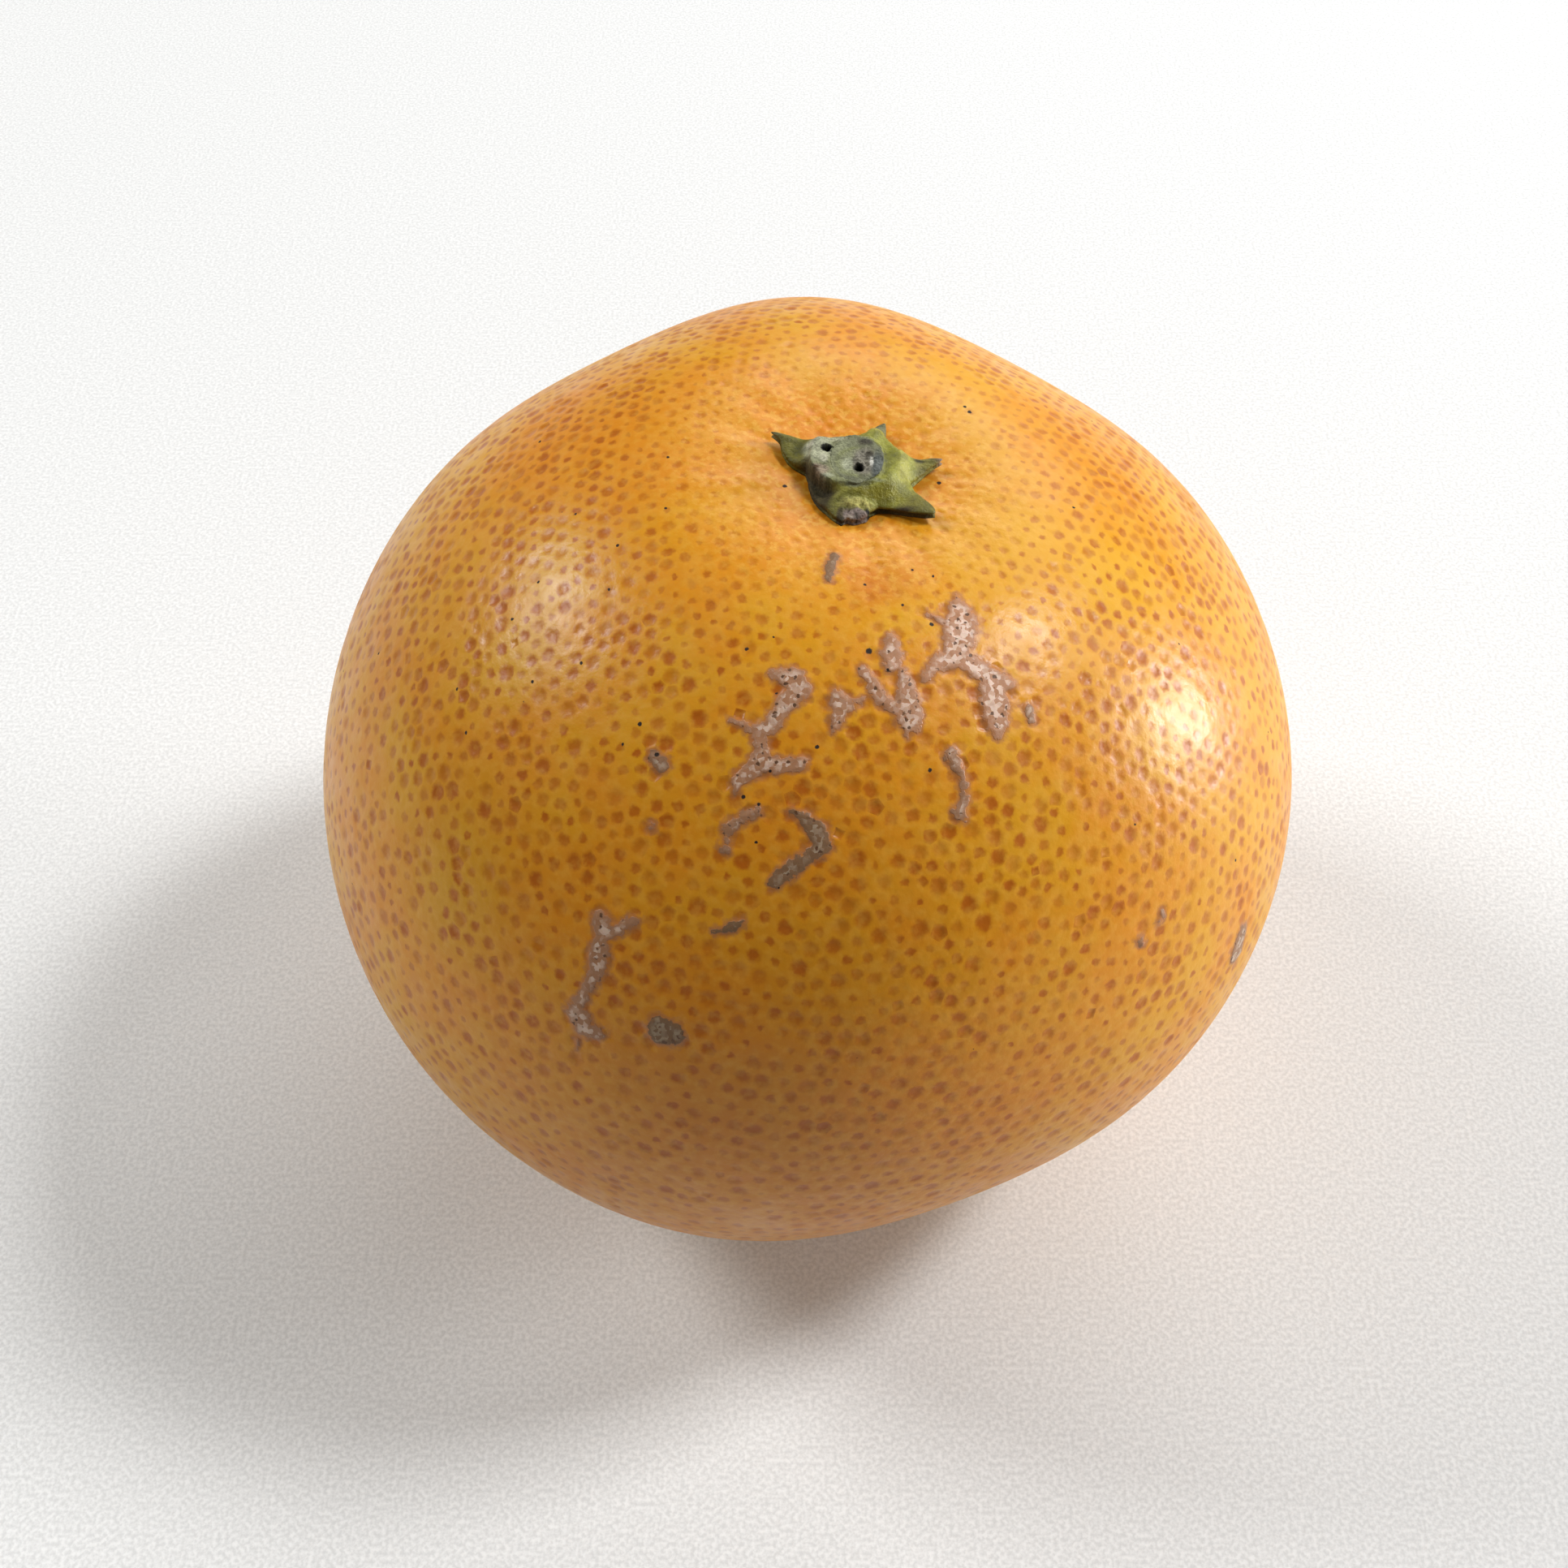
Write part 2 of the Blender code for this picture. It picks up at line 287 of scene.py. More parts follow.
def relaxed(tree, points):
    """Move each point to the middle of its own cell, which evens the packing out."""
    hull = add(tree, "GeometryNodeConvexHull", points).outputs[0]
    cells = add(tree, "GeometryNodeDualMesh", hull).outputs[0]
    middles = add(tree, "GeometryNodeMeshToPoints", cells, mode="FACES").outputs[0]
    place = vector(tree, "NORMALIZE", add(tree, "GeometryNodeInputPosition").outputs[0])
    return add(tree, "GeometryNodeSetPosition", middles, True, place).outputs[0]


def gland_net_tree():
    tree, given = geometry_tree(
        "oil gland net", Spacing="Float", Squeeze="Float", Lean="Float", Smallest="Float",
        Largest="Float", Floor="Float", Depth="Float", Ball="Float", Middle="Vector",
        Stem="Vector", Seed="Int", Peel="Material")
    position = add(tree, "GeometryNodeInputPosition").outputs[0]
    ball = add(tree, "GeometryNodeMeshIcoSphere", 1.0, BALL_LEVEL).outputs["Mesh"]
    scatter = add(tree, "GeometryNodeDistributePointsOnFaces", distribute_method="POISSON")
    fill(tree, scatter.inputs["Mesh"], ball)
    fill(tree, scatter.inputs["Distance Min"], given["Spacing"])
    scatter.inputs["Density Max"].default_value = DENSEST
    fill(tree, scatter.inputs["Seed"], given["Seed"])
    drawn = squeeze(tree, vector(tree, "NORMALIZE", position), given["Squeeze"])
    turn = add(tree, "ShaderNodeVectorRotate", rotation_type="Y_AXIS")
    fill(tree, turn.inputs["Vector"], drawn)
    fill(tree, turn.inputs["Angle"], given["Lean"])
    points = add(tree, "GeometryNodeSetPosition", scatter.outputs["Points"], True, turn.outputs[0]).outputs[0]
    points = relaxed(tree, points)
    hull = add(tree, "GeometryNodeConvexHull", points).outputs[0]
    cells = add(tree, "GeometryNodeDualMesh", hull).outputs[0]

    def body_hit():
        made = add(tree, "GeometryNodeRaycast")
        fill(tree, made.inputs["Target Geometry"], given["Geometry"])
        fill(tree, made.inputs["Source Position"], given["Middle"])
        fill(tree, made.inputs["Ray Direction"], vector(tree, "NORMALIZE", position))
        made.inputs["Ray Length"].default_value = 1.0
        return made

    cells = store(tree, cells, True, "gland_line", vector(tree, "NORMALIZE", position), kind="FLOAT_VECTOR")
    cells = store(tree, cells, True, "gland_middle", body_hit().outputs["Hit Position"], kind="FLOAT_VECTOR")
    chance = add(tree, "FunctionNodeRandomValue", data_type="FLOAT")
    fill(tree, chance.inputs["Seed"], given["Seed"])
    size = add(tree, "ShaderNodeMapRange", shown_output(chance), 0.0, 1.0, given["Smallest"],
               given["Largest"]).outputs[0]
    from_stem = vector(tree, "DISTANCE", body_hit().outputs["Hit Position"], given["Stem"])
    size = calc(tree, "MULTIPLY", size, ramp(tree, from_stem, SMALL_WITHIN, FULL_BEYOND, SMALL_SHARE, 1.0))
    cells = store(tree, cells, True, "gland_size", size)
    tone = add(tree, "FunctionNodeRandomValue", data_type="FLOAT")
    tone.inputs["Seed"].default_value = SEED + 1
    cells = store(tree, cells, True, "gland_tone", shown_output(tone))
    cells = store(tree, cells, True, "floor", 0.0, domain="POINT")

    inset = add(tree, "GeometryNodeExtrudeMesh", cells, True, mode="FACES")
    inset.inputs["Offset Scale"].default_value = 0.0
    inset.inputs["Individual"].default_value = True
    top = inset.outputs["Top"]
    rings = add(tree, "GeometryNodeScaleElements", inset.outputs["Mesh"], top, INNER_RING,
                domain="FACE").outputs[0]
    rings = store(tree, rings, top, "floor", 1.0, domain="POINT")

    floor = named(tree, "floor")
    line = named(tree, "gland_line", "FLOAT_VECTOR")
    outwards = vector(tree, "NORMALIZE", vector(tree, "SUBTRACT", position, line))
    floor_radius = calc(tree, "MULTIPLY", named(tree, "gland_size"), given["Floor"])
    reach = calc(tree, "DIVIDE", floor_radius, given["Ball"])
    away = vector(tree, "SCALE", outwards, None)
    fill(tree, away.node.inputs["Scale"], reach)
    on_floor = calc(tree, "GREATER_THAN", floor, 0.5)
    rings = add(tree, "GeometryNodeSetPosition", rings, on_floor, vector(tree, "ADD", line, away)).outputs[0]

    hit = body_hit()
    sunk = calc(tree, "MULTIPLY", calc(tree, "MULTIPLY", floor, given["Depth"]), named(tree, "gland_size"))
    drop = vector(tree, "SCALE", hit.outputs["Hit Normal"], None)
    fill(tree, drop.node.inputs["Scale"], sunk)
    place = vector(tree, "SUBTRACT", hit.outputs["Hit Position"], drop)
    peel = add(tree, "GeometryNodeSetPosition", rings, True, place).outputs[0]
    peel = add(tree, "GeometryNodeSetShadeSmooth", peel, True, True).outputs[0]
    peel = add(tree, "GeometryNodeRealizeInstances", peel).outputs[0]
    peel = add(tree, "GeometryNodeSetMaterial", peel, True, given["Peel"]).outputs[0]
    add(tree, "NodeGroupOutput", peel)
    return tree


# %% Grow the net on the body
peel_tree, peel_shader, peel_material = new_material("fine_peel")
GLAND_SPACING = 1.02 * MM
BALL = 32 * MM  # the fruit's mean radius, for turning a size on the peel into one on the unit ball
stem_lean = atan2(stem_axis.x, high.z - MIDDLE.z)

GLANDS = {
    "Spacing": GLAND_SPACING / BALL,
    "Squeeze": 1.22,
    "Lean": stem_lean,
    "Smallest": 0.20 * MM,
    "Largest": 0.50 * MM,
    "Floor": 0.6,
    "Depth": 0.15,
    "Ball": BALL,
    "Middle": MIDDLE,
    "Stem": (stem_axis.x, stem_axis.y, high.z),
    "Seed": SEED,
    "Peel": peel_material,
}
peel_mesh = grow(body, gland_net_tree(), GLANDS)
peel = new_object("peel", peel_mesh)
print("the peel has", len(peel_mesh.polygons), "faces")

# %% [markdown]
# ## Scars and specks
# Wind rubs a young fruit on twigs, and the rubbed skin heals as dry, pinkish cork with a darker rim.
# The scars here are strokes: a few points of the photograph each, with the stroke's half width at each
# point, all in pixels. Every point is thrown on the peel, so a stroke becomes a chain of tapered rods
# in space, and how far a point of the peel lies outside the nearest rod says where cork, rim and clean
# skin are. The net is too coarse for their ragged edges, so its faces are cut finer there first. The
# sides that the photograph hides get a few scars of their own, placed by azimuth and height in degrees.

# %% Where the scars are
FRONT_SCARS = {  # name: (greyness, strokes of (x, y, half width) in pixels of the photograph)
    "twig mark under the calyx": (0.9, [[(1028, 684, 5), (1024, 698, 6), (1021, 713, 4)]]),
    "big patch": (0.1, [
        [(1178, 736, 2), (1182, 752, 14), (1184, 768, 21), (1182, 786, 19), (1178, 806, 15)],
        [(1178, 812, 11), (1160, 815, 10), (1140, 834, 5)],
        [(1185, 812, 12), (1210, 828, 13), (1230, 840, 13), (1244, 844, 7)],
        [(1222, 846, 14), (1226, 866, 19), (1228, 888, 15), (1229, 902, 7)],
        [(1144, 756, 2), (1162, 765, 4)]]),
    "middle strokes": (0.2, [
        [(1099, 788, 6), (1098, 806, 12), (1097, 820, 8)],
        [(1111, 828, 5), (1116, 845, 9), (1118, 860, 13), (1120, 880, 16), (1122, 893, 10), (1117, 904, 3)],
        [(1063, 826, 5), (1075, 840, 6), (1082, 856, 8), (1096, 868, 6), (1108, 876, 8)]]),
    "small wedge": (0.25, [
        [(1030, 857, 8), (1037, 870, 13), (1031, 886, 8), (1027, 901, 2)],
        [(1046, 867, 4), (1062, 861, 2)]]),
    "left chain": (0.25, [
        [(955, 830, 5), (978, 836, 13), (984, 850, 15), (966, 868, 10), (955, 888, 9),
         (937, 902, 10), (936, 916, 8)],
        [(900, 888, 2), (922, 896, 4)],
        [(938, 932, 11), (928, 948, 10), (910, 960, 8), (907, 974, 4)],
        [(944, 942, 10), (966, 943, 9), (986, 941, 8)]]),
    "short bow": (0.45, [[(934, 1000, 5), (912, 1010, 5), (898, 1020, 7)], [(895, 1036, 3), (894, 1046, 6)]]),
    "hook": (0.9, [
        [(975, 1000, 3), (990, 1007, 6), (1006, 1024, 12), (1014, 1042, 10), (1002, 1052, 8)],
        [(992, 1058, 7), (970, 1074, 10), (956, 1087, 7)]]),
    "thin line on the right": (0.5, [
        [(1173, 931, 9), (1184, 950, 4), (1189, 970, 3), (1188, 986, 4), (1182, 1002, 10)]]),
    "lower left chain": (0.35, [
        [(740, 1134, 11), (744, 1147, 12), (760, 1146, 7), (782, 1134, 5)],
        [(741, 1160, 10), (737, 1182, 14), (734, 1200, 9), (724, 1216, 6), (715, 1234, 8)],
        [(711, 1248, 14), (720, 1266, 13), (738, 1274, 7)],
        [(712, 1284, 2), (711, 1290, 2)]]),
    "round scab": (1.0, [[(816, 1270, 19), (825, 1273, 17)]]),
    "small one on the left": (0.7, [[(805, 932, 5), (815, 943, 9)]]),
    "dark twig mark": (1.0, [[(881, 1148, 2), (896, 1144, 5), (915, 1137, 2)]]),
    "faint ones on the right": (0.6, [
        [(1530, 1150, 13), (1524, 1172, 17)], [(1268, 874, 6), (1270, 886, 5)],
        [(1432, 1128, 5), (1428, 1134, 4)], [(1404, 1158, 4), (1408, 1162, 3)]]),
    "dot": (0.3, [[(803, 1016, 3), (804, 1020, 3)]]),
}
SIDE_SCARS = (  # greyness, and a stroke of (azimuth, height) in degrees with its half width in millimetres
    (0.3, [(64, 22, 0.3), (70, 18, 0.7), (74, 10, 0.9), (80, 8, 0.4)]),
    (0.5, [(118, -12, 0.4), (122, -6, 0.8), (130, -4, 0.3)]),
    (0.9, [(158, 6, 0.7), (160, 3, 0.6)]),
    (0.3, [(20, -22, 0.3), (26, -18, 0.6), (30, -10, 0.4), (36, -9, 0.2)]),
    (0.4, [(203, -20, 0.6), (207, -26, 0.9), (206, -33, 0.4)]),
    (0.6, [(280, -38, 0.3), (288, -40, 0.6), (294, -37, 0.3)]),
)


def at_side(azimuth, height):
    """The place on the peel in a direction from the fruit's middle."""
    azimuth, height = radians(azimuth), radians(height)
    way = Vector((cos(azimuth) * cos(height), sin(azimuth) * cos(height), sin(height)))
    return body_tree.ray_cast(MIDDLE, way)[0]


def pixel_size(place):
    """How many metres one pixel of the photograph covers at a place."""
    return (TO_WORLD.transposed() @ (camera.location - place)).z / FOCAL


def scar_rods():
    """Every scar as rods from one place to the next: both ends, both radii, and the greyness."""
    chains = []
    for grey, strokes in FRONT_SCARS.values():
        for stroke in strokes:
            places = [on_peel(x, y) for x, y, half in stroke]
            radii = [half * pixel_size(place) for (x, y, half), place in zip(stroke, places)]
            chains.append((grey, places, radii))
    for grey, stroke in SIDE_SCARS:
        chains.append((grey, [at_side(azimuth, height) for azimuth, height, half in stroke],
                       [half * MM for azimuth, height, half in stroke]))
    return [(np.array(places[i]), np.array(places[i + 1]), radii[i], radii[i + 1], grey)
            for grey, places, radii in chains for i in range(len(places) - 1)]


rods = scar_rods()
print(len(rods), "rods make up the scars")


def beyond_scars(points):
    """How far outside the nearest scar each point lies, negative inside, and how grey that scar is."""
    nearest = np.full(len(points), 1.0)
    greyness = np.zeros(len(points))
    for start, end, first, last, grey in rods:
        along = end - start
        share = np.clip((points - start) @ along / (along @ along), 0, 1)
        gap = np.linalg.norm(points - start - share[:, None] * along, axis=1) - first - share * (last - first)
        closer = gap < nearest
        nearest[closer] = gap[closer]
        greyness[closer] = grey
    return nearest, greyness


# %% [markdown]
# The faces near a scar are cut into smaller ones with BMesh, which keeps what each face knows of its
# gland. The points inside a scar then leave their pits and go to the smooth body, raised by the
# thickness of the cork and roughened, because cork is a crust on the skin and not only a colour.

# %% Cut the net finer at the scars, and raise the cork
FINE_WITHIN = 0.45 * MM
FINE_CUTS = 2
CORK_HEIGHT = 0.04 * MM
CORK_ROUGHNESS = 0.025 * MM
CORK_GRAIN = 0.35 * MM
CORK_RIM = 0.3 * MM  # over this width the skin rises to the crust


def smooth_share(value):
    value = np.clip(value, 0.0, 1.0)
    return value * value * (3 - 2 * value)


def coordinates(mesh):
    flat = np.empty(len(mesh.vertices) * 3)
    mesh.vertices.foreach_get("co", flat)
    return flat.reshape(-1, 3)


def refine(mesh, beyond, within, cuts):
    """Cut the faces whose middles lie within a distance of something into smaller ones."""
    bm = bmesh.new()
    bm.from_mesh(mesh)
    bm.faces.ensure_lookup_table()
    middles = np.array([face.calc_center_median() for face in bm.faces])
    close = np.nonzero(beyond(middles)[0] < within)[0]
    chosen = [bm.faces[index] for index in close]
    many_sided = [face for face in chosen if len(face.verts) > 4]
    chosen = [face for face in chosen if len(face.verts) <= 4]
    chosen += bmesh.ops.poke(bm, faces=many_sided)["faces"]
    edges = list({edge for face in chosen for edge in face.edges})
    bmesh.ops.subdivide_edges(bm, edges=edges, cuts=cuts, use_grid_fill=True)
    bm.to_mesh(mesh)
    bm.free()


def add_numbers(mesh, name, numbers, domain="POINT", kind="FLOAT", field="value"):
    layer = mesh.attributes.new(name, kind, domain)
    layer.data.foreach_set(field, np.asarray(numbers, dtype=np.float32).ravel())


def raise_cork(mesh):
    places = coordinates(mesh)
    beyond, greyness = beyond_scars(places)
    for index in np.nonzero(beyond < CORK_GRAIN)[0]:
        place = Vector(places[index])
        skin, outwards = body_tree.find_nearest(place)[:2]
        inside = min(1.0, max(0.0, 0.6 - beyond[index] / CORK_RIM))
        rough = noise.noise(skin / CORK_GRAIN) + 0.6 * noise.noise(skin / CORK_GRAIN * 2.3)
        crust = skin + outwards * (CORK_HEIGHT + CORK_ROUGHNESS * rough)
        places[index] = place.lerp(crust, inside)
    mesh.vertices.foreach_set("co", places.ravel())
    add_numbers(mesh, "scar", beyond / MM)
    add_numbers(mesh, "scar_grey", greyness)


refine(peel_mesh, beyond_scars, FINE_WITHIN, FINE_CUTS)
raise_cork(peel_mesh)
print("with its scars the peel has", sum(len(p.vertices) - 2 for p in peel_mesh.polygons), "triangles")

# %% [markdown]
# The skin is drawn into the stem basin like cloth into a drawstring, and puckers into short radial
# folds there. They are noise that is stretched outwards: it is read at a place on a cylinder, where
# going round the stem moves fast through the noise and going outwards moves slowly. The net is cut
# finer there too, so that the folds are real.

# %% Pucker the skin round the calyx
PUCKER_START = 3.6 * MM
PUCKER_END = 9.5 * MM
PUCKER_FOLDS = 11.0  # how fast the noise changes on the way round
PUCKER_LENGTH = 1.8 * MM
PUCKER_HEIGHT = 0.045 * MM


def beyond_basin(points):
    """How far points lie outside the ring that the puckers fill, for points on top of the fruit."""
    away = np.hypot(points[:, 0] - stem_axis.x, points[:, 1] - stem_axis.y)
    return [np.where(points[:, 2] > MIDDLE.z, away - 0.8 * PUCKER_END, 1.0)]


def pucker_height(place):
    across, along = place.x - stem_axis.x, place.y - stem_axis.y
    reach, azimuth = hypot(across, along), atan2(along, across)
    strength = smooth_share((reach - PUCKER_START) / (2 * MM)) * smooth_share((PUCKER_END - reach) / (6 * MM))
    fold = Vector((PUCKER_FOLDS * cos(azimuth), PUCKER_FOLDS * sin(azimuth), reach / PUCKER_LENGTH))
    ridge = 1 - 2 * abs(noise.noise(fold)) - 0.8 * abs(noise.noise(fold * 2.2))
    return PUCKER_HEIGHT * strength * ridge


def pucker(mesh):
    places = coordinates(mesh)
    for index in np.nonzero(beyond_basin(places)[0] < PUCKER_END)[0]:
        place = Vector(places[index])
        outwards = body_tree.find_nearest(place)[1]
        places[index] = place + outwards * pucker_height(place)
    mesh.vertices.foreach_set("co", places.ravel())


refine(peel_mesh, beyond_basin, 0.0, 1)
pucker(peel_mesh)
print("with its puckers the peel has", sum(len(p.vertices) - 2 for p in peel_mesh.polygons), "triangles")

# %% [markdown]
# Black specks, fungus or dust stuck in the wax, are a few tenths of a millimetre wide. Those that the
# photograph shows are placed by pixel, and as many again are strewn over the rest by a seeded draw.
# Like a gland, each speck is told to the faces round it as a middle and a size, so the material can
# draw it sharper than the net.

# %% Specks
SPECKS = (  # x, y and half width in pixels of the photograph
    (1157, 595, 4), (967, 599, 4), (665, 544, 3), (823, 563, 3), (820, 626, 3), (709, 633, 3),
    (761, 672, 3), (663, 717, 3), (750, 726, 3), (920, 799, 4), (953, 785, 2), (631, 763, 3),
    (716, 817, 3), (656, 840, 3), (788, 892, 4), (957, 854, 3), (767, 917, 3), (574, 903, 3),
    (563, 849, 3), (809, 930, 4), (1071, 802, 6), (1007, 920, 4), (916, 982, 4), (935, 991, 3),
    (932, 1038, 3), (1146, 949, 4), (1066, 720, 3), (1112, 745, 3), (1195, 507, 4), (1189, 501, 3),
    (1148, 769, 4), (1094, 825, 3), (949, 950, 3),
)
STREWN_SPECKS = 70
SPECK_SIZES = (0.04 * MM, 0.10 * MM)
SPECK_SHRINK = 0.7  # the blur of the photograph widens them
SPECK_REACH = 1.0 * MM  # the faces this close to a speck are told of it
NOWHERE = Vector((0, 0, -1))
random.seed(SEED)

specks = [(on_peel(x, y), SPECK_SHRINK * half * pixel_size(on_peel(x, y))) for x, y, half in SPECKS]
for number in range(STREWN_SPECKS):
    height = degrees(asin(random.uniform(-0.85, 0.97)))
    specks.append((at_side(random.uniform(0, 360), height), random.uniform(*SPECK_SIZES)))
speck_tree = KDTree(len(specks))
for number, (place, size) in enumerate(specks):
    speck_tree.insert(place, number)
speck_tree.balance()

told = [speck_tree.find(face.center) for face in peel_mesh.polygons]
add_numbers(peel_mesh, "speck_middle", [specks[number][0] if gap < SPECK_REACH else NOWHERE
                                        for place, number, gap in told], "FACE", "FLOAT_VECTOR", "vector")
add_numbers(peel_mesh, "speck_size", [specks[number][1] for place, number, gap in told], "FACE")
print(len(specks), "specks")

# %% [markdown]
# ## The peel's finish
# Ripe peel is golden where the wax is thick, more orange round the stalk, and greener where it ripened
# last. The lower part is painted a deeper orange as shade. The material starts from a ground colour,
# lays the glands and the wax over it, and last the scars and specks. Every distance comes from Object
# coordinates turned into millimetres. Distances are bent by a little noise first, so that no spot is a
# perfect circle.

# %% Colours of the peel
GOLD = (0.660, 0.315, 0.010, 1)
AMBER = (0.660, 0.255, 0.009, 1)
GLAND = (0.420, 0.108, 0.003, 1)
PALE = (0.720, 0.380, 0.050, 1)
HALO = (0.400, 0.155, 0.050, 1)
CORK = (0.430, 0.205, 0.105, 1)
GREY_CORK = (0.190, 0.105, 0.050, 1)
FLECK = (0.800, 0.600, 0.490, 1)
GREY_FLECK = (0.350, 0.260, 0.170, 1)
PIT = (0.120, 0.055, 0.025, 1)
SPECK = (0.022, 0.012, 0.007, 1)
RIPENESS_AND_SHADE = (  # name, pixel, radius in millimetres, colour, strength
    ("late and greenish on the left", (575, 1060), 8, (0.55, 0.30, 0.014, 1), 0.45),
    ("late, upper left", (640, 720), 9, (0.60, 0.32, 0.016, 1), 0.35),
    ("early, back left", (760, 520), 12, (0.66, 0.225, 0.010, 1), 0.60),
    ("round the calyx", (1060, 590), 10, (0.62, 0.190, 0.006, 1), 0.80),
    ("deeper orange under the calyx", (1088, 728), 3.2, (0.56, 0.165, 0.006, 1), 0.75),
    ("sallow blemish", (1465, 615), 2.0, (0.38, 0.200, 0.050, 1), 0.45),
    ("golden on the right", (1330, 720), 12, (0.70, 0.360, 0.014, 1), 0.60),
    # painted shade: the lower part, turned away from the lamps, is made a deeper orange
    ("shade painted deeper orange below", (960, 1440), 32, (0.56, 0.185, 0.004, 1), 0.75),
)


# %% [markdown]
# Materials need a few helpers of their own. Each one adds a mix, a pattern or a distance to a
# material's tree, and patterns are given in millimetres.

# %% Helpers for materials
def mixed(tree, share, first, second):
    return shown_output(add(tree, "ShaderNodeMix", share, first, second, data_type="RGBA"))


def attribute(tree, name, output="Fac"):
    return add(tree, "ShaderNodeAttribute", attribute_name=name).outputs[output]


def noise_at(tree, place, scale, detail=2.0, output=0):
    """Noise from 0 to 1, or a vector of noise with output 1."""
    made = add(tree, "ShaderNodeTexNoise", place)
    made.inputs["Scale"].default_value = scale
    made.inputs["Detail"].default_value = detail
    return made.outputs[output]


def bent(tree, place, scale, reach):
    """Places moved by up to about a reach, by noise."""
    push = vector(tree, "SUBTRACT", noise_at(tree, place, scale, output=1), (0.5, 0.5, 0.5))
    push = vector(tree, "SCALE", push, None)
    push.node.inputs["Scale"].default_value = reach
    return vector(tree, "ADD", place, push)


def cells_at(tree, place, scale):
    """Cells round random points: the distance to the nearest point, and the cell's own random colour."""
    made = add(tree, "ShaderNodeTexVoronoi", place)
    made.inputs["Scale"].default_value = scale
    return made.outputs["Distance"], made.outputs["Color"]


def in_millimetres(tree):
    place = add(tree, "ShaderNodeTexCoord").outputs["Object"]
    place = vector(tree, "SCALE", place, None)
    place.node.inputs["Scale"].default_value = 1 / MM
    return place


def distance_to(tree, place, name):
    """The distance in millimetres to a middle that the faces carry."""
    middle = vector(tree, "SCALE", attribute(tree, name, "Vector"), None)
    middle.node.inputs["Scale"].default_value = 1 / MM
    return vector(tree, "DISTANCE", place, middle)


# %% [markdown]
# The ground colour wanders between gold and amber over the whole fruit. The patches of ripeness, and a
# patch of painted shade below, are laid over it where the photograph shows them, with soft edges that
# are bent on a large scale.

# %% Ground colour of the peel
def ripe_and_shaded_ground(tree, place):
    """The ground colour, with the patches of ripeness and of painted shade laid over it."""
    ground = mixed(tree, ramp(tree, noise_at(tree, place, 0.16), 0.35, 0.65), GOLD, AMBER)
    broad = bent(tree, place, 0.12, 9.0)
    for name, (x, y), radius, colour, strength in RIPENESS_AND_SHADE:
        gap = vector(tree, "DISTANCE", broad, on_peel(x, y) / MM)
        patch = ramp(tree, gap, 0.2 * radius, radius, strength, 0.0)
        ground = mixed(tree, patch, ground, colour)
    return ground


# %% [markdown]
# A gland shows as a soft darker spot, because the oil in it lets light deeper into the peel. The spots
# are fainter near the stem, and the wax there is dull and mottled.

# %% Spots of the glands, and the wax
def with_glands(tree, place, ground):
    """The ground with the spots of the glands, clouds of wax and a mottle near the stem."""
    wavy = bent(tree, bent(tree, place, 1.4, 0.4), 3.5, 0.30)
    size = calc(tree, "DIVIDE", attribute(tree, "gland_size"), MM)
    share = calc(tree, "DIVIDE", distance_to(tree, wavy, "gland_middle"), size)
    depth = ramp(tree, attribute(tree, "gland_tone"), 0.0, 1.0, 0.50, 1.0)
    spot = calc(tree, "MULTIPLY", ramp(tree, share, 0.60, 1.40, 1.0, 0.0), depth)
    from_stem = vector(tree, "DISTANCE", place, (stem_axis.x / MM, stem_axis.y / MM, high.z / MM))
    spot = calc(tree, "MULTIPLY", spot, ramp(tree, from_stem, 3.0, 17.0, 0.35, 1.0))
    skin = mixed(tree, spot, ground, GLAND)
    clouds = ramp(tree, noise_at(tree, place, 1.6, 3.0), 0.40, 0.70, 0.0, 0.30)
    skin = mixed(tree, clouds, skin, PALE)
    mottle = ramp(tree, noise_at(tree, place, 2.4, 3.0), 0.50, 0.62, 0.0, 0.6)
    mottle = calc(tree, "MULTIPLY", mottle, ramp(tree, from_stem, 6.0, 15.0, 1.0, 0.0))
    return mixed(tree, mottle, skin, PALE)


# %% [markdown]
# A scar is a pink halo in the skin, a tan crust, angular pale plates on the crust and small dark pits
# between them. The net knows only how far a point lies beyond a scar, so noise makes that distance
# ragged first.

# %% Layers of a scar
def with_scars(tree, place, skin):
    """The skin's colour with the scars on it, and the shares of cork, plates and pits for the relief."""
    wander = calc(tree, "SUBTRACT", noise_at(tree, place, 2.2, 3.0), 0.5)
    beyond = calc(tree, "ADD", attribute(tree, "scar"), calc(tree, "MULTIPLY", wander, 0.85))
    skin = mixed(tree, ramp(tree, beyond, 0.04, 0.42, 0.9, 0.0), skin, HALO)
    greyness = attribute(tree, "scar_grey")
    crust = mixed(tree, greyness, CORK, GREY_CORK)
    plates = cells_at(tree, bent(tree, place, 3.0, 0.20), 3.8)[1]
    inner = ramp(tree, beyond, -0.35, -0.02, 1.0, 0.0)
    plate = calc(tree, "MULTIPLY", ramp(tree, plates, 0.30, 0.80), inner)
    plate_colour = mixed(tree, greyness, FLECK, GREY_FLECK)
    crust = mixed(tree, calc(tree, "MULTIPLY", plate, 0.85), crust, plate_colour)
    gap, chance = cells_at(tree, bent(tree, place, 3.5, 0.35), 2.1)
    deep = ramp(tree, gap, 0.16, 0.28, 1.0, 0.0)
    pits = calc(tree, "MULTIPLY", deep, ramp(tree, chance, 0.2, 0.5))
    crust = mixed(tree, pits, crust, PIT)
    cork = ramp(tree, beyond, -0.02, 0.08, 1.0, 0.0)
    return mixed(tree, cork, skin, crust), cork, plates, pits


def speck_share(tree, place):
    """1 on a speck and 0 beside it."""
    size = calc(tree, "DIVIDE", attribute(tree, "speck_size"), MM)
    gap = distance_to(tree, bent(tree, place, 5.0, 0.12), "speck_middle")
    return ramp(tree, calc(tree, "DIVIDE", gap, size), 0.8, 1.2, 1.0, 0.0)


